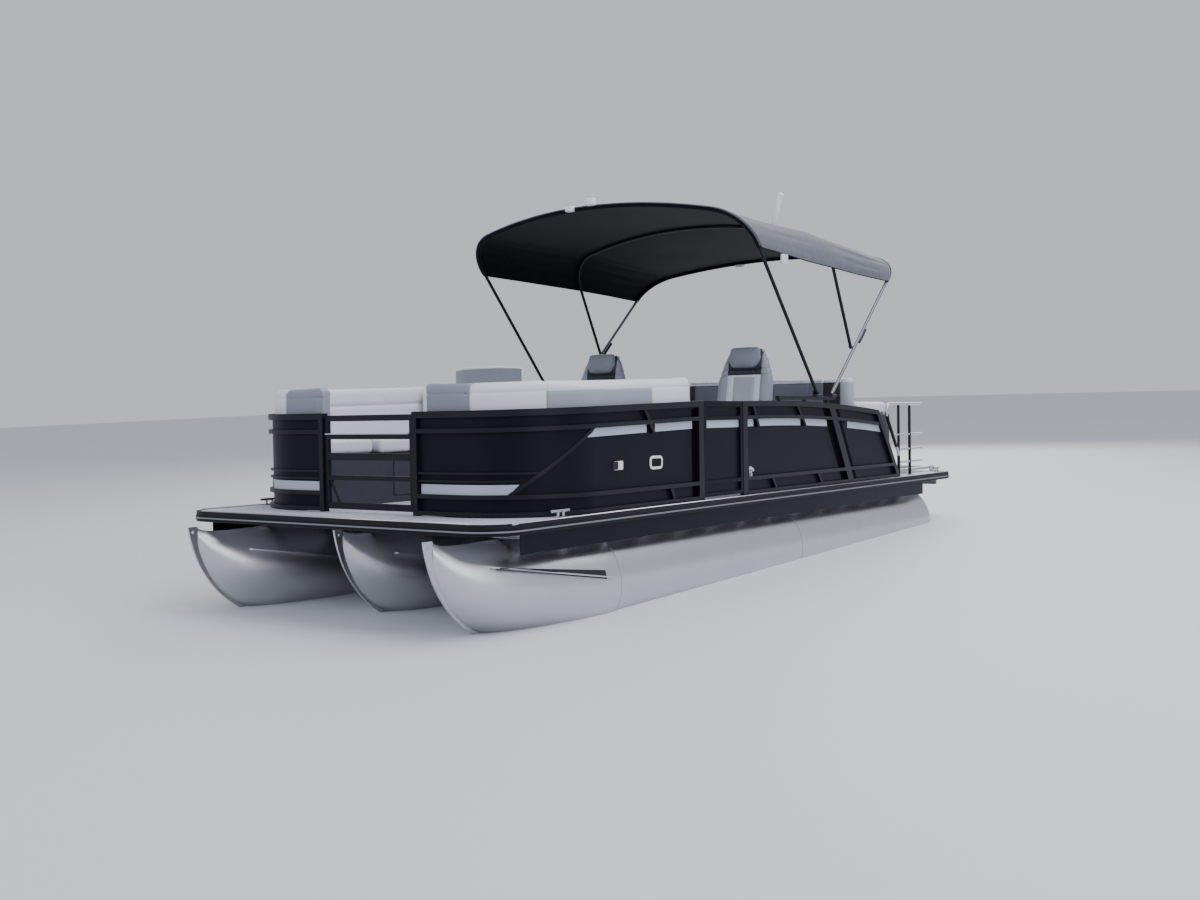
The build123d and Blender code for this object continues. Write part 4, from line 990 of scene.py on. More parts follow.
@dataclass
class Upholstery:
    """Blows up all the pads together, then sews and dresses them."""

    pads: list[Pad] = field(default_factory=list)
    pressure: float = 4.0
    frames: int = 16
    # How many widths away a seam still draws the skin in, and how fast that fades
    seam_reach: float = 2.5
    seam_fade: float = 1.6

    def _evaluated(self, piece: Piece) -> bpy.types.Mesh:
        """A copy of a piece's mesh with its modifiers applied."""
        graph = bpy.context.evaluated_depsgraph_get()
        return bpy.data.meshes.new_from_object(piece.evaluated_get(graph))

    def _blank(self, pad: Pad) -> Piece:
        """Turn a pad's plain shape into an even skin of small faces.

        Args:
            pad: The pad.

        Returns:
            Its new object.
        """
        bmesh.ops.recalc_face_normals(pad.shape, faces=pad.shape.faces)
        piece = stand(pad.name, to_mesh(pad.name, pad.shape))
        remesh = piece.modifiers.new("even skin", "REMESH")
        remesh.mode = "VOXEL"
        remesh.voxel_size = pad.voxel
        even = self._evaluated(piece)
        piece.modifiers.clear()
        piece.data = even
        return piece

    def _puff(self, pieces: list[Piece]) -> None:
        """Run the cloth on every pad at once and keep its result, capped.

        Args:
            pieces: The pads' objects.
        """
        scene = bpy.context.scene
        for piece in pieces:
            cloth = piece.modifiers.new("cloth", "CLOTH")
            values = cloth.settings
            values.quality = 4
            values.mass = 0.3
            values.tension_stiffness = 25
            values.compression_stiffness = 25
            values.bending_stiffness = 2.0
            values.use_pressure = True
            values.uniform_pressure_force = self.pressure
            values.effector_weights.gravity = 0.0
            cloth.point_cache.frame_start = 1
            cloth.point_cache.frame_end = self.frames
        for number in range(1, self.frames + 1):
            scene.frame_set(number)
        results = [self._evaluated(piece) for piece in pieces]
        for pad, piece, puffed in zip(self.pads, pieces, results):
            piece.modifiers.clear()
            for old, new in zip(piece.data.vertices, puffed.vertices):
                step = new.co - old.co
                if step.length > pad.swell:
                    step = step.normalized() * pad.swell
                old.co = old.co + step
            bpy.data.meshes.remove(puffed)
        scene.frame_set(1)

    def _sew(self, pad: Pad, piece: Piece) -> None:
        """Cut the seams into a pad and give each panel its cover.

        Args:
            pad: The pad.
            piece: Its object.
        """
        bm = bmesh.new()
        bm.from_mesh(piece.data)
        for seam in pad.seams:
            normal = Vector(seam.normal).normalized()
            for shift in (-seam.width / 2, 0.0, seam.width / 2):
                bmesh.ops.bisect_plane(bm, geom=bm.verts[:] + bm.edges[:] + bm.faces[:], dist=1e-5,
                                       plane_co=Vector(seam.point) + normal * shift, plane_no=normal)
            bm.normal_update()
            moves = []
            for vert in bm.verts:
                away = abs((vert.co - Vector(seam.point)).dot(normal)) / seam.width
                if away < self.seam_reach and (seam.where is None or seam.where(vert.co, vert.normal)):
                    fade = 2.718 ** (-(away * self.seam_fade) ** 2)
                    moves.append((vert, vert.normal * (-seam.depth * fade)))
            for vert, move in moves:
                vert.co += move
        bm.normal_update()
        for face in bm.faces:
            face.smooth = True
            if pad.cover is not None:
                face.material_index = pad.cover(face.calc_center_median(), face.normal)
        bm.to_mesh(piece.data)
        bm.free()

    def finish(self) -> list[Piece]:
        """Blow up, sew and dress every pad, and hide the nodes that each stands for.

        Returns:
            The pads' objects.
        """
        pieces = [self._blank(pad) for pad in self.pads]
        self._puff(pieces)
        for pad, piece in zip(self.pads, pieces):
            piece.data.materials.clear()
            dress(piece, pad.covers, pad.body)
            self._sew(pad, piece)
            if pad.stands_for:
                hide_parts(*pad.stands_for)
        return pieces


@dataclass
class BowLounge:
    """One bow lounge: its wrapped back, armrest bolster, lid that lifts and corner cushion."""

    side: int
    word: str
    base_top: float = 0.840
    back_top: float = 1.262
    inner_inset: float = 0.1545
    thick: float = 0.106
    white_from: float = 12.0
    white_to: float = 58.0
    aft_end: float = 1.166
    after_seam: float = 1.620

    def pads(self) -> list[Pad]:
        """The lounge's pads: on the port side they also stand for the shared backs and corner seats."""
        return [self._back(), self._bolster(), self._lid(), self._corner()]

    def _shared(self, name: str) -> tuple[str, ...]:
        """The node that both sides share, which the port side's pad stands for."""
        return (name,) if self.side > 0 else ()

    def top_at(self, x: float) -> float:
        """Height of the back's top at x."""
        return self.back_top + 0.004 + FENCE_RISE * (FENCE_FRONT - x)

    def _back(self) -> Pad:
        """The wrapped back, with its piping and its covers.

        Returns:
            The pad.
        """
        side, line = self.side, FenceLine(self.side, self.inner_inset, start_y=0.426)
        ends = (0.0, line.run_at_x(self.aft_end))
        shape = band(line, ends, ends, lambda x: self.base_top + 0.005, self.top_at, self.thick, 90)
        bmesh.ops.recalc_face_normals(shape, faces=shape.faces)
        soften(shape, 0.034, 4, sharp)
        seams = []
        for angle in (self.white_from, self.white_to):
            place, out = line.at(line.run_at_angle(angle))
            seams.append(Seam(tuple(place), (-out.y, out.x, 0.0)))
        seams += seams_at(AHEAD, [self.after_seam])
        lift = (FENCE_RISE, 0, 1)
        seams.append(Seam((FENCE_FRONT, 0, self.back_top - 0.059), lift, 0.004, 0.010,
                          lambda place, normal: normal.dot(line.out_at(place)) > 0.3))
        seams.append(Seam((FENCE_FRONT, 0, self.back_top - 0.122), lift, 0.016, 0.016,
                          lambda place, normal: normal.dot(line.out_at(place)) < -0.3))

        def cover(place: Vector, normal: Vector) -> int:
            """Choose the vinyl at a place on the back: 0 white, 1 grey, 2 soft grey; the soft grey low on the
            after back's outer face is light grey vinyl deepened by painted shade.

            Args:
                place: Where on the pad.
                normal: The skin's direction there.

            Returns:
                The number of its cover.
            """
            out = line.out_at(place)
            facing = normal.dot(out)
            angle = degrees(atan2(out.y * side, out.x))
            if facing < -0.2:
                return 0
            if angle < self.white_from and place.y * side < 0.79:
                return 1 if facing > 0.5 or side > 0 else 2
            if angle < self.white_to or (place.x < self.after_seam and side > 0):
                return 0
            # Low on the after part's outer face: soft grey, partly the vinyl's light grey and partly painted
            # shade
            return 2 if self.top_at(place.x) - place.z > 0.063 and facing > 0.4 else 0

        return Pad(self.word + "_lounge_back", shape, (WHITE_VINYL, GREY_VINYL, SOFT_GREY_VINYL), seams,
                   cover, stands_for=self._shared("lounge_backs"), swell=0.009)

    def _bolster(self) -> Pad:
        """The rounded armrest across the lounge's aft end.

        Returns:
            The pad.
        """
        corners = on_side((1.172, 0.566, self.base_top + 0.004), (1.274, 1.086, 1.296), self.side)
        seams = seams_at(AHEAD, [1.223], 0.004) + seams_at(TO_PORT, [self.side * 0.60])
        return Pad(self.word + "_bolster", block(*corners, 0.040, 5), (WHITE_VINYL,), seams, swell=0.009)

    def _lid(self) -> Pad:
        """The long seat that lifts off its locker, white with a grey inner strip.

        Returns:
            The pad.
        """
        corners = on_side((1.300, 0.567, SEAT_Z), (2.193, 1.079, 0.938), self.side)
        seams = seams_at(AHEAD, (1.598, 1.896), 0.008) + seams_at(TO_PORT, [self.side * 0.66], 0.005)
        return Pad(self.word + "_lounge_seat", block(*corners, 0.022), (WHITE_VINYL, LIGHT_GREY_VINYL), seams,
                   lambda place, normal: int(0.66 < abs(place.y) < 0.70 and normal.z > 0.5),
                   self.word + "_seat", (self.word + "_seat",))

    def _corner(self) -> Pad:
        """The cushion that fills the bow corner.

        Returns:
            The pad.
        """
        line = FenceLine(self.side, 0.1765, start_y=0.592)
        run_end, steps = line.run_at_x(2.215), 26
        outline = [line.at(run_end * i / steps)[0] for i in range(steps + 1)]
        outline.append(Vector((2.215, self.side * 0.592, 0)))
        shape = prism([(spot.x, spot.y, SEAT_Z) for spot in outline], (0, 0, 0.091))
        return Pad(self.word + "_corner_seat", soften(shape, 0.022, 3, sharp), (WHITE_VINYL,),
                   (Seam((2.45, self.side * 0.62, 0), (1, -self.side, 0)),),
                   stands_for=self._shared("corner_seats"))


@dataclass
class SternBench:
    """The stern bench's lid and back, and the sunpad behind it."""

    near_y: float = -0.402
    far_y: float = 1.146
    roll: float = 0.038

    def pads(self) -> list[Pad]:
        """Make the bench's pads.

        Returns:
            The lid, the two backs and the sunpad.
        """
        two = (WHITE_VINYL, LIGHT_GREY_VINYL)
        thirds = [self.near_y + (self.far_y - self.near_y) * share for share in (0.334, 0.667)]
        lid = block((-1.335, self.near_y + 0.009, 0.848), (-0.797, self.far_y - 0.010, 0.938), 0.024)
        sunpad = block((-2.102, self.near_y, 1.052), (-1.490, self.far_y, 1.142), 0.026)
        return [
            Pad("bench_cushion", lid, two, seams_at(TO_PORT, thirds, 0.008),
                lambda place, normal: int(place.x < -1.16 and normal.z > 0.4), "bench_seat",
                ("bench_seat",), 0.009),
            self._back("bench_backrest", self.near_y, 0.392, 1.352, (-0.395, -0.318), ("bench_back",)),
            self._back("bench_backrest_port", 0.404, self.far_y, 1.350, (0.905, 1.055), ()),
            Pad("sun_pad", sunpad, two, seams_at(TO_PORT, thirds, 0.009) + seams_at(AHEAD, [-1.80], 0.006),
                lambda place, normal: 0, stands_for=("sunpad",), swell=0.009)]

    def _back(self, name: str, near: float, far: float, top: float, charcoal: Pair,
              stands_for: tuple[str, ...]) -> Pad:
        """One of the two upright backs, grey darkened by painted shade under a white roll, with a charcoal
        band near its outer end.

        Args:
            name: Its name.
            near: Its starboard end.
            far: Its port end.
            top: Its height.
            charcoal: Where the charcoal band starts and ends.
            stands_for: The node it stands for.

        Returns:
            The pad.
        """
        inner, outer = charcoal
        seams = (seams_at(TO_PORT, charcoal, 0.006) + seams_at(UP, [top - self.roll], 0.005)
                 + seams_at(TO_PORT, [(near + far) / 2], 0.003))

        def cover(place: Vector, normal: Vector) -> int:
            """Choose the vinyl: 0 white roll, 1 grey with painted shade, 2 light grey at the port end, 3
            charcoal band.

            Args:
                place: Where on the pad.
                normal: The skin's direction there.

            Returns:
                The number of its cover.
            """
            if place.z > top - self.roll:
                return 0
            if inner < place.y < outer:
                return 3
            return 2 if place.y > 1.055 else 1

        return Pad(name, block((-1.464, near, 0.848), (-1.357, far, top), 0.036, 5),
                   (WHITE_VINYL, SHADED_GREY_VINYL, LIGHT_GREY_VINYL, DARK_VINYL), seams, cover,
                   stands_for=stands_for)


@dataclass
class CaptainChair:
    """A swivel chair: seat, tall back with a headrest pillow, and two arms."""

    body: str
    y: float
    x: float = -0.230
    seat_low: float = 0.837
    wing: float = 0.236
    border: float = 0.144
    panel: float = 0.088
    middle: float = 0.15
    narrows_from: float = 1.30
    back_foot: float = 0.900
    back_tall: float = 0.672
    pillow_foot: float = 1.418
    pillow_tall: float = 0.158

    def pads(self) -> list[Pad]:
        """Make the chair's pads.

        Returns:
            The cushion, the back, the pillow and the two arm pads.
        """
        seat = block((self.x - 0.244, self.y - 0.240, self.seat_low), (self.x + 0.284, self.y + 0.240, 0.938),
                     0.038, 4)
        seams = seams_at(TO_PORT, (self.y - self.middle, self.y + self.middle), 0.008)
        seams += seams_at(AHEAD, [self.x + 0.12], 0.005)
        made = [Pad(self.body + "_cushion", seat, (GREY_VINYL, LIGHT_GREY_VINYL, WHITE_VINYL), seams,
                    lambda place, normal: int(abs(place.y - self.y) < self.middle), self.body, (self.body,),
                    0.010, 0.010), self._back(), self._pillow()]
        for side, word in ((1, "port"), (-1, "starboard")):
            arm_y = self.y + side * 0.270
            arm = block((self.x - 0.190, arm_y - 0.025, 1.100), (self.x + 0.190, arm_y + 0.025, 1.160),
                        0.018, 4)
            made.append(Pad(self.body + "_arm_pad_" + word, arm, (DARK_VINYL,), body=self.body, swell=0.004,
                            voxel=0.008))
        return made

    def _bent(self, rows: int, columns: int, place: Callable[[Vector], Vector], radius: float) -> Mesh:
        """A block from -1/2 to 1/2, and 0 to 1 in height, cut into rows and columns, bent and rounded.

        Args:
            rows: Cuts up its height.
            columns: Cuts across it.
            place: Where each of its points goes.
            radius: Size of the rounding.

        Returns:
            The bent shape.
        """
        shape = block((-0.5, -0.5, 0.0), (0.5, 0.5, 1.0))
        for axis, cuts in ((2, rows), (1, columns)):
            edges = [e for e in shape.edges if abs(e.verts[0].co[axis] - e.verts[1].co[axis]) > 0.5]
            if cuts:
                bmesh.ops.subdivide_edges(shape, edges=edges, cuts=cuts, use_grid_fill=True)
        for vert in shape.verts:
            vert.co = place(vert.co)
        bmesh.ops.recalc_face_normals(shape, faces=shape.faces)
        return soften(shape, radius, 3, sharp)

    def _lean(self, z: float) -> float:
        """How far aft of its foot the back's middle is at a height."""
        return -0.215 - 0.165 * (z - 1.005)

    def half_width(self, z: float) -> float:
        """Half the back's width, which narrows toward its top."""
        return self.wing - 0.098 * min(max(z - self.narrows_from, 0.0) / 0.27, 1.0) ** 1.5

    def _back(self) -> Pad:
        """The back: side wings, white piping lines and a pale centre panel.

        Returns:
            The pad.
        """
        def place(share: Vector) -> Vector:
            """Bend the back round the sitter and lean it aft.

            Args:
                share: The point in the plain block.

            Returns:
                Its place.
            """
            z, across = self.back_foot + share.z * self.back_tall, share.y * 2
            thick = 0.100 - 0.022 * share.z
            return Vector((self.x + self._lean(z) + share.x * thick + 0.018 * across ** 2,
                           self.y + across * self.half_width(z), z))

        seams = seams_at(TO_PORT, (self.y + self.border, self.y - self.border), 0.008)
        seams += seams_at(TO_PORT, (self.y + self.panel, self.y - self.panel), 0.004, 0.008)
        seams += [Seam((self.x - 0.2, 0, z), (0.16, 0, 1), 0.006) for z in (1.405, 1.360, 1.04)]

        def cover(place: Vector, normal: Vector) -> int:
            """Choose the vinyl: 0 soft grey, 1 light grey, 2 white, 3 charcoal under the pillow.

            Args:
                place: Where on the pad.
                normal: The skin's direction there.

            Returns:
                The number of its cover.
            """
            off = abs(place.y - self.y)
            level = place.z + 0.16 * (place.x - self.x + 0.2)
            if normal.x < 0.1:
                return 0
            if level > 1.360 + 0.045 * (level > 1.405):
                return 3 if off < self.border else 0
            if off < self.panel:
                return 1 if level < 1.345 else 2
            return 2 if off < self.border else 0

        return Pad(self.body + "_back", self._bent(14, 12, place, 0.026),
                   (SOFT_GREY_VINYL, LIGHT_GREY_VINYL, WHITE_VINYL, DARK_VINYL), seams, cover, self.body,
                   voxel=0.009)

    def _pillow(self) -> Pad:
        """The headrest pillow.

        Returns:
            The pad.
        """
        def place(share: Vector) -> Vector:
            """Spread the pillow to its middle and lay it on the back.

            Args:
                share: The point in the plain block.

            Returns:
                Its place.
            """
            z = self.pillow_foot + share.z * self.pillow_tall
            spread = 0.098 + 0.040 * min(share.z * 3.0, 1.0) - 0.030 * max(share.z - 0.45, 0.0)
            forward = 0.066 + share.x * 0.056
            return Vector((self.x + self._lean(z) + forward - 0.012, self.y + share.y * 2 * spread, z))

        return Pad(self.body + "_headrest", self._bent(5, 0, place, 0.020), (GREY_VINYL,), body=self.body,
                   voxel=0.008)


@dataclass(frozen=True)
class Hoop:
    """One bow of the canvas frame, a bent tube in a plane that leans from its pivot."""

    pivot_x: float
    pivot_z: float
    lean: float
    crown: float
    half: float = 1.250
    corner: float = 0.330
    turn: float = 75.0
    drop: float = 0.035
    crown_to: float = 0.60
    corner_to: float = 0.94

    def at(self, share: float, out: float) -> Vector:
        """A point beside the hoop.

        Args:
            share: From -1 at the starboard hem over the crown to 1 at the port hem.
            out: Distance outside the tube's centre line.

        Returns:
            The point.
        """
        rest = radians(90 - self.turn)
        end_y = self.half - self.corner + self.corner * cos(radians(self.turn))
        radius = end_y / sin(rest)
        start = self.crown - end_y * tan(rest / 2) - self.corner * sin(radians(self.turn))
        reach = abs(share)
        if reach < self.crown_to:
            angle = rest * reach / self.crown_to
            across, up = (radius + out) * sin(angle), self.crown - radius + (radius + out) * cos(angle)
        elif reach < self.corner_to:
            angle = rest + (pi / 2 - rest) * (reach - self.crown_to) / (self.corner_to - self.crown_to)
            across = self.half - self.corner + (self.corner + out) * sin(angle)
            up = start + (self.corner + out) * cos(angle)
        else:
            leg = (reach - self.corner_to) / (1 - self.corner_to)
            across, up = self.half + out, start - self.drop * leg
        side = 1 if share >= 0 else -1
        slope = radians(self.lean)
        return Vector((self.pivot_x + up * cos(slope), side * across, self.pivot_z + up * sin(slope)))

    def line(self, end: float, out: float, ahead: float = 0.0) -> list[Point]:
        """Points beside the hoop from hem to hem.

        Args:
            end: The share at which they end on both sides.
            out: Distance outside the tube's centre line.
            ahead: How far forward they are moved.

        Returns:
            The points.
        """
        return [tuple(self.at(-end + 2 * end * i / 120, out) + Vector((ahead, 0, 0))) for i in range(121)]


REAR_LEAN = radians(138.4)
FRONT_HOOP = Hoop(-0.540, 1.215, 49.2, 1.800)
MID_HOOP = Hoop(-0.800 + 0.555 * cos(REAR_LEAN), 1.215 + 0.555 * sin(REAR_LEAN), 63.3, 1.110, 1.214, 0.294)
REAR_HOOP = Hoop(-0.800, 1.215, 138.4, 1.880)


@dataclass
class CanvasTop:
    """The canvas stretched over three hoops, with its sleeves, hem and lamp pods."""

    rise: float = 0.0185
    cloth: float = 0.0016
    across: int = 150
    along: int = 96

    def _place(self, share: float, run: float) -> Vector:
        """Where the canvas is.

        Args:
            share: From the starboard hem at -1 to the port hem at 1.
            run: 0 at the front hoop, 1 at the middle one, 2 at the rear one.

        Returns:
            The point on its middle surface.
        """
        first, second = (FRONT_HOOP, MID_HOOP) if run < 1 else (MID_HOOP, REAR_HOOP)
        part = run if run < 1 else run - 1
        span = sin(pi * part)
        lift = self.rise - 0.010 * span
        place = first.at(share, lift) * (1 - part) + second.at(share, lift) * part
        return place + self._wrinkle(share, run, span)

    def _wrinkle(self, share: float, run: float, span: float) -> Vector:
        """Long creases that run fore and aft where the canvas turns down.

        Args:
            share: As for the place.
            run: As for the place.
            span: 0 at a hoop and 1 midway between two.

        Returns:
            The move out of the plain surface.
        """
        edge = max(0.0, 1 - abs(abs(share) - 0.80) / 0.24)
        length = 1.0 if run > 1 else 0.45
        ridge = sin(abs(share) * 74 + 1.7 * run) + 0.5 * sin(abs(share) * 131 - 2.3 * run)
        soft = noise.noise(Vector((share * 3.1, run * 2.3, 4.7))) * 0.006
        return Vector((0, share, 0.6)).normalized() * (0.0058 * edge * span * length * ridge + soft * span)

    def _fore_aft(self, share: float, steps: int, lift: float = 0.0) -> list[Vector]:
        """Points along the canvas from the front hoop to the rear one.

        Args:
            share: Which line.
            steps: How many steps.
            lift: How far above the canvas.

        Returns:
            The points.
        """
        return [self._place(share, 2 * i / steps) + Vector((0, 0, lift)) for i in range(steps + 1)]

    def build(self) -> list[Piece]:
        """Make the canvas and what is sewn or clipped to it.

        Returns:
            The new pieces.
        """
        seams = [tube_mesh(self._fore_aft(share, 60, 0.0015), 0.0022, 2) for share in (-0.36, 0.36)]
        hem = [tube_mesh(self._fore_aft(share, 90), 0.0036, 3) for share in (-0.995, 0.995)]
        sleeves = [tube_mesh(hoop.line(0.985, 0.001), 0.0175, 5) for hoop in (FRONT_HOOP, REAR_HOOP)]
        welt = tube_mesh(FRONT_HOOP.line(0.97, 0.016, 0.010), 0.0042, 3)
        top = self._place(0.985, 0.30)
        tag = block((top.x - 0.046, top.y - 0.010, top.z - 0.076),
                    (top.x + 0.046, top.y + 0.006, top.z - 0.004), 0.005)
        # The seams and the front welt also carry the grey of painted sky light
        made = [self._sheet()] + [link_mesh("canvas_" + name, shapes, finish) for name, shapes, finish in (
            ("seams", seams, SKY_LIT_CANVAS), ("sleeve_front", sleeves[:1], BLACK_CANVAS),
            ("sleeve_rear", sleeves[1:], BLACK_CANVAS), ("hem", hem, BLACK_CANVAS),
            ("pods", self._pods(), LAMP_WHITE), ("front_welt", [welt], SKY_LIT_CANVAS), ("tag", [tag], GELCOAT))]
        for piece in made:
            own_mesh(piece)
        flat = self._flat_size()
        LOG.info("canvas cut to %.3f by %.3f m", *flat)
        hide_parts("bimini_canopy")
        return made

    def _flat_size(self) -> Pair:
        """The width over the crown and the length along the middle.

        Returns:
            Width and length, measured along the surface.
        """
        across = [self._place(-1 + 2 * i / 200, 1.0) for i in range(201)]
        return tuple(sum((b - a).length for a, b in zip(line, line[1:]))
                     for line in (across, self._fore_aft(0.0, 100)))

    def _sheet(self) -> Piece:
        """The canvas itself: black below, and above a light grey that is painted sky light on the black
        cloth.

        Returns:
            The new piece.
        """
        bm = bmesh.new()
        bmesh.ops.create_grid(bm, x_segments=self.across, y_segments=self.along, size=0.5)
        for vert in bm.verts:
            share, run = vert.co.x * 2, (vert.co.y + 0.5) * 2
            vert.co = self._place(max(-1, min(1, share)), max(0.0, min(2.0, run)))
        bmesh.ops.recalc_face_normals(bm, faces=bm.faces)
        if sum(f.normal.z for f in bm.faces) < 0:
            bmesh.ops.reverse_faces(bm, faces=bm.faces)
        for face in bm.faces:
            face.smooth = True
        piece = stand("canvas_top", to_mesh("canvas_top", bm))
        # The upper face carries the grey of painted sky light; the lower face and the rims are the black
        # canvas
        dress(piece, (SKY_LIT_CANVAS, BLACK_CANVAS), "hull")
        wall = piece.modifiers.new("cloth thickness", "SOLIDIFY")
        wall.thickness = self.cloth
        wall.offset = -1.0
        wall.material_offset = 1
        wall.material_offset_rim = 1
        return piece

    def _pods(self) -> list[Mesh]:
        """White lamp pods clipped on the canvas's front and rear edges.

        Returns:
            The pods.
        """
        shapes = []
        for hoop, share, size, away in (
                (FRONT_HOOP, -0.075, (0.022, 0.036, 0.018), 0.006),
                (FRONT_HOOP, 0.045, (0.024, 0.034, 0.026), 0.042),
                (REAR_HOOP, -0.18, (0.024, 0.040, 0.014), -0.052)):
            shape = block(tuple(-v for v in size), size, 0.010, 4)
            place = Matrix.Translation(hoop.at(share, away) + Vector((0.02, 0, 0)))
            bmesh.ops.transform(shape, matrix=place @ Matrix.Rotation(radians(-4), 4, "Y"), verts=shape.verts)
            shapes.append(shape)
        return shapes


@dataclass
class HelmDress:
    """Screen frame, instruments, throttle and cup holders at the helm."""

    low: Pair = (0.580, 1.118)
    high: Pair = (0.690, 1.292)
    normal: Point = (-0.845, 0, 0.534)

    def build(self) -> list[Piece]:
        """Make the helm's pieces.

        Returns:
            The new pieces.
        """
        pod = prism([(x, -1.050, z) for x, z in ((0.700, 1.268), (0.588, 1.110), self.low, self.high)],
                    (0, 0.560, 0))
        gauges = [lathe([(0, 0.001), (size * 0.80, 0.001), (size * 0.86, 0.006), (size, 0.006),
                         (size * 1.06, 0.0), (0, -0.002)], self._dash_point(0.66, y), self.normal)
                  for y, size in ((-0.985, 0.042), (-0.555, 0.042), (-0.885, 0.028), (-0.655, 0.028))]
        base = lathe([(0, 0.0), (0.050, 0.0), (0.052, 0.006), (0.046, 0.022), (0, 0.024)],
                     (0.76, -0.430, 1.13), TO_PORT)
        lever = tube_mesh([(0.76, -0.404, 1.13), (0.755, -0.395, 1.16), (0.735, -0.392, 1.23),
                           (0.722, -0.394, 1.275)], 0.009, 4)
        grip = rod((0.719, -0.430, 1.290), (0.719, -0.350, 1.290), 0.016)
        cups = [lathe(CUP, (0.955, y, 1.262), (0.1, 0, 1)) for y in (-0.560, -0.980)]
        rockers = [turned(block((-0.012, -0.008, -0.004), (0.012, 0.008, 0.005), 0.003, 2), self.normal,
                          self._dash_point(0.28, -1.00 + 0.036 * number)) for number in range(6)]
        return [link_mesh(name, shapes, finish) for name, shapes, finish in (
            ("screen_rim", self._screen_rim(), LAMP_WHITE),
            ("dash_pod", [soften(pod, 0.006, 3, sharp)], BLACK_ABS), ("gauges", gauges, POLISHED_STEEL),
            ("throttle", [base, lever, grip], BLACK_ABS), ("cup_holders", cups, POLISHED_STEEL),
            ("switches", rockers, GELCOAT))]

    def _screen_rim(self) -> list[Mesh]:
        """White moulded rim round the smoked screen.

        Returns:
            Its top, its foot and its two ends.
        """
        rim = []
        for i in range(41):
            off = 2 * i / 40 - 1
            rim.append((0.854 + 0.101 * (1 - off ** 2), -1.100 + 0.660 * i / 40,
                        1.437 - 0.010 * abs(off) ** 4))
        foot = tube_mesh([(x, y, 1.270) for x, y, _ in rim], 0.008, 4)
        ends = [rod((x, y, 1.262), (x, y, z), 0.011) for x, y, z in (rim[0], rim[-1])]
        return [tube_mesh(rim, 0.009, 4), foot] + ends

    def _dash_point(self, up: float, y: float) -> Vector:
        """A point on the dash pod's face, by its share up and its y."""
        return Vector((self.low[0], y, self.low[1])).lerp(Vector((self.high[0], y, self.high[1])), up)


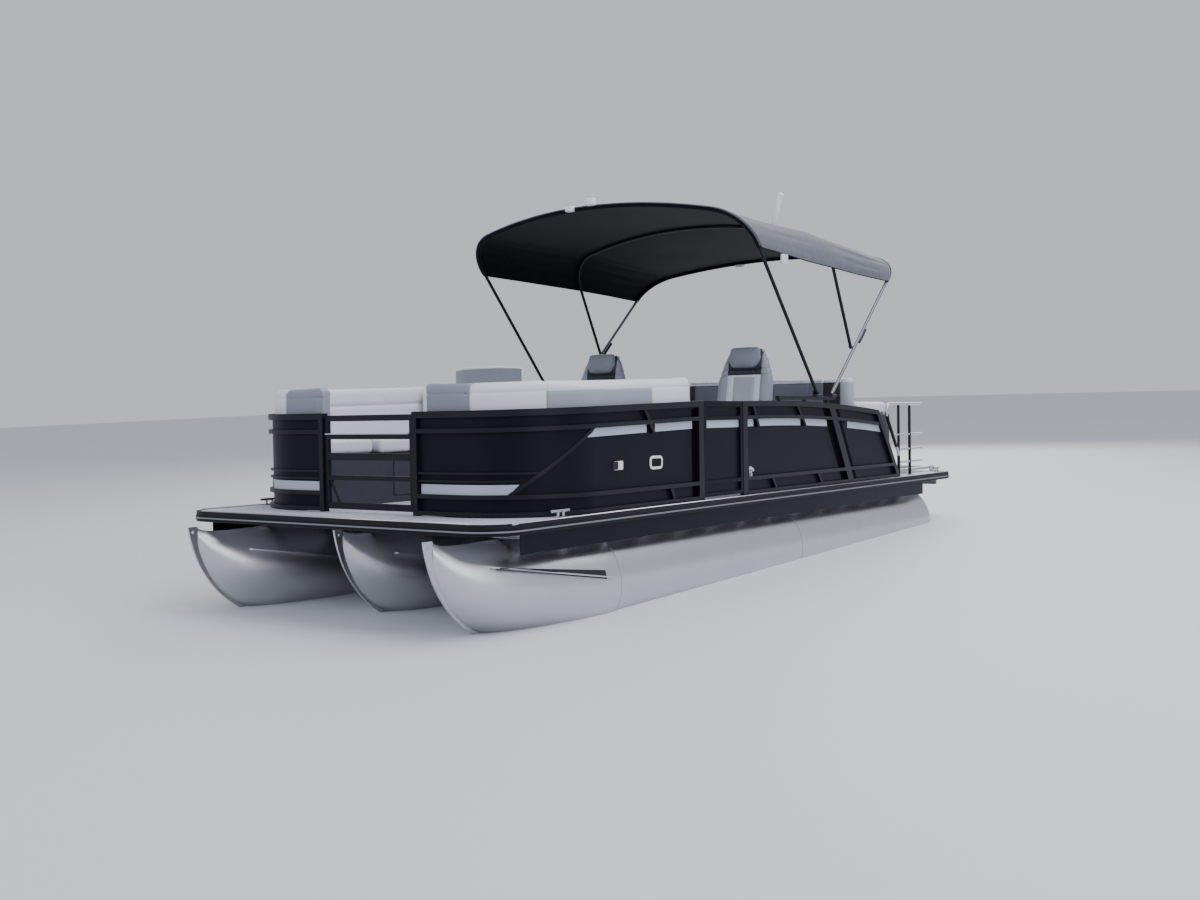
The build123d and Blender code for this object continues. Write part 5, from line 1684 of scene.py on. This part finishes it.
@dataclass
class DeckDress:
    """Small deck fittings: tube welds, strakes painted dark as their shade, rail sleeves, edge trim, locker
    doors and clips.
    """

    nodes: dict
    rail_y: float = 1.195
    door_y: float = 0.580
    door_thick: float = 0.007

    def build(self) -> list[Piece]:
        """Make the fittings.

        Returns:
            The new pieces.
        """
        ring = [(0.3172, -0.007), (0.3196, -0.003), (0.3204, 0.0), (0.3196, 0.003), (0.3172, 0.007)]
        rings = [lathe(ring, (x, y, TUBE_Z), AHEAD, 96)
                 for y, front in ((0.970, 2.083), (-0.970, 2.083), (0.0, 1.805)) for x in (front, -0.214)]
        strakes = [self._strake_shade(side, name) for side, name in ((1, "port_tube"), (-1, "starboard_tube"))]
        trim = [tube_mesh([(3.196, y, 0.5125) for y in (-1.10, 1.10)], 0.006, 3)]
        trim += [tube_mesh([(x, side * 1.283, 0.5115) for x in (-3.10, 3.06)], 0.006, 3) for side in (1, -1)]
        cups = [lathe(CUP, (-1.560, y, 1.047), UP) for y in (0.86, -0.12)]
        shoes = [block((x - 0.040, y - 0.017, 1.184), (x + 0.040, y + 0.017, 1.203), 0.004, 2)
                 for y in (1.255, -1.255) for x in (-0.540, -0.800)]
        mast = lathe([(0.0, 0.014), (0.020, 0.014), (0.0225, 0.022), (0.0222, 0.150), (0.0205, 0.266),
                      (0.012, 0.284), (0.0, 0.286)], (-0.751, 0.781, 2.502), (0, 0.0728, 0.2706), 28)
        return [
            link_mesh("tube_welds", rings, MILL_ALUMINIUM),
            # The strakes take black as painted shade under their lips; the real strake is the tube's own
            # metal
            link_mesh("tube_strake_shades", strakes, BLACK_ABS, smooth=False),
            link_mesh("rail_sleeves", self._rail_sleeves(), BLACK_POWDER),
            link_mesh("deck_edge_trim", trim, ANODISED),
            link_mesh("locker_doors", self._doors(), MOULDED_BASE_AND_SHADE, POLISHED_STEEL, smooth=False),
            link_mesh("bench_cup_holders", cups, POLISHED_STEEL),
            link_mesh("ladder_grips", self._ladder_grips(), BLACK_ABS, body="ladder", smooth=False),
            link_mesh("track_shoes", shoes, BLACK_ABS, smooth=False),
            link_mesh("hoop_clips", self._leg_clips(), BLACK_ABS),
            link_mesh("masthead_sleeve", [mast], LAMP_WHITE, body="mid_bow")]

    def _strake_shade(self, side: int, name: str) -> Mesh:
        """Strake near an outer tube's bow, laid on the sheet above the water, in black as painted shade and
        the dark reflection under its lip.

        Args:
            side: 1 for port, -1 for starboard.
            name: The tube's node.

        Returns:
            The strake.
        """
        skin = surface_tree(self.nodes[name])

        def place(along: float, up: float) -> Vector:
            """Point of the strake on the tube, by its shares.

            Args:
                along: Share along it.
                up: Share across it.

            Returns:
                The point.
            """
            half = 0.025 - 0.020 * along
            start = Vector((2.240 + 0.790 * along, side * 1.6, 0.160 + 0.110 * along + 2 * (up - 0.5) * half))
            met, normal, _, _ = skin.ray_cast(start, Vector((0, -side, 0)))
            return met + normal * 0.0008

        return strip((24, 2), place, lambda co: Vector((0, side, 0.2)) * 0.0035)

    def _rail_sleeves(self) -> list[Mesh]:
        """Black sleeves on the stern rails' uprights and on the two gate posts.

        Returns:
            The sleeves.
        """
        shapes = []
        for y in (self.rail_y, -self.rail_y):
            for x0, z0, x1, z1, radius in (
                    (-2.200, 0.518, -2.200, 0.690, 0.0133), (-2.200, 0.690, -2.200, 1.118, 0.0115),
                    (-1.953, 1.032, -2.150, 0.767, 0.0133), (-2.440, 0.518, -2.440, 1.116, 0.0124)):
                shapes.append(rod((x0, y, z0), (x1, y, z1), radius))
        return shapes + [block((-2.0665, y - 0.0165, 0.514), (-2.0335, y + 0.0165, 1.043))
                         for y in (-0.455, -1.190)]

    def _doors(self) -> list[Mesh]:
        """Moulded locker doors with slam latches in the lounge and bench bases.

        Returns:
            The doors and their latches.
        """
        doors, latches, inner = [], [], self.door_y - self.door_thick
        for side in (1, -1):
            doors.append(block(*on_side((1.420, inner, 0.560), (2.060, self.door_y, 0.800), side), 0.003, 2))
            latches.append(lathe(LATCH, (1.740, side * inner, 0.752), (0, -side, 0), 24))
        doors.append(block((-0.802, -0.230, 0.560), (-0.793, 0.970, 0.800), 0.003, 2))
        latches.append(lathe(LATCH, (-0.793, 0.370, 0.752), AHEAD, 24))
        return [paint(door, 0) for door in doors] + [paint(latch, 1) for latch in latches]

    def _ladder_grips(self) -> list[Mesh]:
        """Black pads on the ladder's treads, placed by the ladder's own box.

        Returns:
            The pads.
        """
        ladder = self.nodes["boarding_ladder"]
        places = [ladder.matrix_world @ vert.co for vert in ladder.data.vertices]
        low, high = ([pick(place[i] for place in places) for i in range(3)] for pick in (min, max))
        treads = [low[0] + 0.12 + (high[0] - low[0] - 0.24) * number / 3 for number in range(4)]
        return [block((x - 0.018, low[1] + 0.05, high[2] - 0.003),
                      (x + 0.018, high[1] - 0.05, high[2] + 0.001)) for x in treads]

    def _leg_clips(self) -> list[Mesh]:
        """Black clips on the after side of the rear hoop's legs.

        Returns:
            The clips.
        """
        up, aft = Vector((cos(REAR_LEAN), 0, sin(REAR_LEAN))), Vector((-sin(REAR_LEAN), 0, cos(REAR_LEAN)))
        feet = [Vector((REAR_HOOP.pivot_x, side * REAR_HOOP.half, REAR_HOOP.pivot_z)) + aft * 0.026
                for side in (1, -1)]
        return [rod(foot + up * 0.640, foot + up * 0.800, 0.013) for foot in feet]


@dataclass
class MotorDress:
    """Cowl trim lines, a catch and a propeller with twisted blades."""

    nodes: dict
    hub_x: float = -3.306
    axis_z: float = -0.420
    blades: int = 3
    root: float = 0.042
    reach: float = 0.112

    def build(self) -> list[Piece]:
        """Make the motor's pieces.

        Returns:
            The new pieces.
        """
        hub = lathe([(0.0, 0.0), (0.030, 0.0), (0.046, 0.012), (0.045, 0.09), (0.038, 0.108), (0.030, 0.110),
                     (0.026, 0.100), (0.0, 0.098)], (self.hub_x, 0, self.axis_z), (-1, 0, 0), 40)
        lines = [tube_mesh(self._loop(0.640, 0.0, 0.0005), 0.0030, 2),
                 tube_mesh(self._loop(0.840, 0.030, 0.0002), 0.0022, 2)]
        catch = block((-3.498, -0.045, 0.590), (-3.470, 0.045, 0.618), 0.006)
        made = [
            link_mesh("propeller_cast", [hub] + [self._blade(number) for number in range(self.blades)],
                      PROPELLER_STEEL, body="propeller"),
            link_mesh("cowl_line", lines, ANODISED, body="outboard_motor"),
            link_mesh("cowl_catch", [catch], BLACK_ABS, body="outboard_motor")]
        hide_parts("propeller")
        return made

    def _blade(self, number: int) -> Mesh:
        """A twisted, raked blade.

        Args:
            number: Which of the blades.

        Returns:
            The blade, turned to its place round the hub.
        """
        blade = bmesh.new()
        bmesh.ops.create_grid(blade, x_segments=16, y_segments=14, size=0.5)
        for vert in blade.verts:
            chord, out = vert.co.x * 2, vert.co.y + 0.5
            radius = self.root + out * self.reach
            width = 0.040 + 0.042 * sin(pi * min(out * 1.15, 1.0) ** 0.8)
            width *= sqrt(max(1 - max(out - 0.72, 0) ** 2 / 0.0785, 0.02))
            pitch = radians(62 - 34 * out)
            swing = chord * width * sin(pitch) / radius + 0.25 * out
            along = -chord * width * 0.55 * cos(pitch) - 0.012 * out
            vert.co = Vector((self.hub_x - 0.056 + along, radius * sin(swing),
                              self.axis_z + radius * cos(swing)))
        bmesh.ops.solidify(blade, geom=blade.faces, thickness=0.005)
        turn = Matrix.Rotation(2 * pi * number / self.blades, 3, "X")
        bmesh.ops.rotate(blade, cent=(0, 0, self.axis_z), matrix=turn, verts=blade.verts)
        return blade

    def _loop(self, height: float, rise: float, out: float) -> list[Point]:
        """A closed line of points on the cowl.

        Args:
            height: Its height amidships.
            rise: How much it climbs toward the bow.
            out: How far it stands off the cowl.

        Returns:
            The points.
        """
        cowl = surface_tree(self.nodes["outboard_cowl"])
        line: list[Point] = []
        for i in range(97):
            way = Vector((cos(2 * pi * i / 96), sin(2 * pi * i / 96), 0))
            met, normal, _, _ = cowl.ray_cast(Vector((-3.170, 0, height + rise * way.x)) + way, -way)
            line.append(tuple(met + normal * out))
        return line


@dataclass
class Studio:
    """Pale floor at the waterline, soft light and the photograph's camera."""

    place: Point = (8.1374, 5.536, 1.0709)
    right: Point = (-0.5868795, 0.8095336, -0.0150938)
    up: Point = (-0.0308776, -0.0037489, 0.9995161)
    look: Point = (-0.8090853, -0.5870616, -0.0271966)
    lens: float = 38.2527
    trim: float = 0.0311

    def build(self) -> None:
        """Make the floor, the camera, the sky and the lights."""
        self._floor()
        self._camera()
        self._sky()
        for name, place, size, power, colour in (
                ("sky_panel", (-1.0, 4.0, 9.0), 9.0, 900, "F4F6FF"),
                ("stern_panel", (-11.0, -4.0, 7.0), 9.0, 900, "FFFBF4"),
                ("port_panel", (5.0, 10.0, 4.0), 6.0, 260, "F7F8FF"),
                ("bow_panel", (11.0, -2.0, 5.0), 6.0, 260, "F4F6FF")):
            self._lamp(name, place, size, power, colour)

    def _floor(self) -> None:
        """The floor leans with the water, which the boat meets bow up."""
        bm = bmesh.new()
        bmesh.ops.create_grid(bm, x_segments=4, y_segments=4, size=60)
        for vert in bm.verts:
            vert.co.z = -self.trim * vert.co.x
        floor = stand("water_floor", to_mesh("water_floor", bm))
        floor.data.materials.append(PALE_FLOOR.material())
        floor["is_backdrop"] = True

    def _camera(self) -> None:
        """The camera, from the solved photograph."""
        seen = bpy.data.cameras.new("photo_camera")
        seen.sensor_fit = "HORIZONTAL"
        seen.sensor_width = 36.0
        seen.lens = self.lens
        seen.clip_end = 300.0
        holder = stand("photo_camera", seen)
        turn = Matrix((self.right, self.up, tuple(-v for v in self.look))).transposed()
        holder.matrix_world = Matrix.Translation(Vector(self.place)) @ turn.to_4x4()
        bpy.context.scene.camera = holder

    def _sky(self) -> None:
        """An even overcast sky."""
        world = bpy.data.worlds.new("overcast")
        world.use_nodes = True
        tree = world.node_tree
        tree.nodes.clear()
        light = add_node(tree, "Background", None, Color=linear("E4E9F2"), Strength=0.80)
        add_node(tree, "OutputWorld", None, Surface=light.outputs["Background"])
        bpy.context.scene.world = world

    def _lamp(self, name: str, place: Point, size: float, power: float, colour: str) -> None:
        """A large soft panel aimed at the boat.

        Args:
            name: Its name.
            place: Where it stands.
            size: Its side.
            power: Watts.
            colour: Hex colour.
        """
        lamp = bpy.data.lights.new(name, "AREA")
        lamp.shape = "SQUARE"
        lamp.size = size
        lamp.energy = power
        lamp.color = linear(colour)[:3]
        aim = Vector((0.3, 0.0, 0.8)) - Vector(place)
        turn = aim.to_track_quat("-Z", "Y").to_matrix().to_4x4()
        stand(name, lamp).matrix_world = Matrix.Translation(Vector(place)) @ turn


def dress_nodes(nodes: dict) -> None:
    """Give every carried-over CAD node its finish.

    Args:
        nodes: The frame's nodes, by name.
    """
    for finish, names in NODE_FINISHES:
        for name in names.split():
            for slot in nodes[name].material_slots:
                slot.material = finish.material()
            LOG.info("node %s: %s", name, finish.name)


def corners(box: Iterable) -> list[list[float]]:
    """A box's two corners as plain lists."""
    return [[round(value, 6) for value in corner] for corner in box]


def main() -> None:
    """Load the frame, build each sub-assembly, and finish."""
    logging.basicConfig(level=logging.INFO, format="%(name)s: %(message)s")
    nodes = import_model()["nodes"]
    cad_box = corners(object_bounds())
    Studio().build()
    dress_nodes(nodes)
    seats = (BowLounge(1, "port"), BowLounge(-1, "starboard"), SternBench(),
             CaptainChair("mate_chair", 0.680), CaptainChair("helm_chair", -0.680))
    made = Upholstery([pad for seat in seats for pad in seat.pads()]).finish()
    for part in (CanvasTop(), FenceTrim(1, "port"), FenceTrim(-1, "starboard"), FenceFittings(), HelmDress(),
                 DeckDress(nodes), MotorDress(nodes)):
        made += part.build()
    for piece in made:
        LOG.info("piece %s: %d faces", piece.name, len(piece.data.polygons))
    {"cad": cad_box, "visual": corners(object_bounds())}


if __name__ == "__main__":
    main()
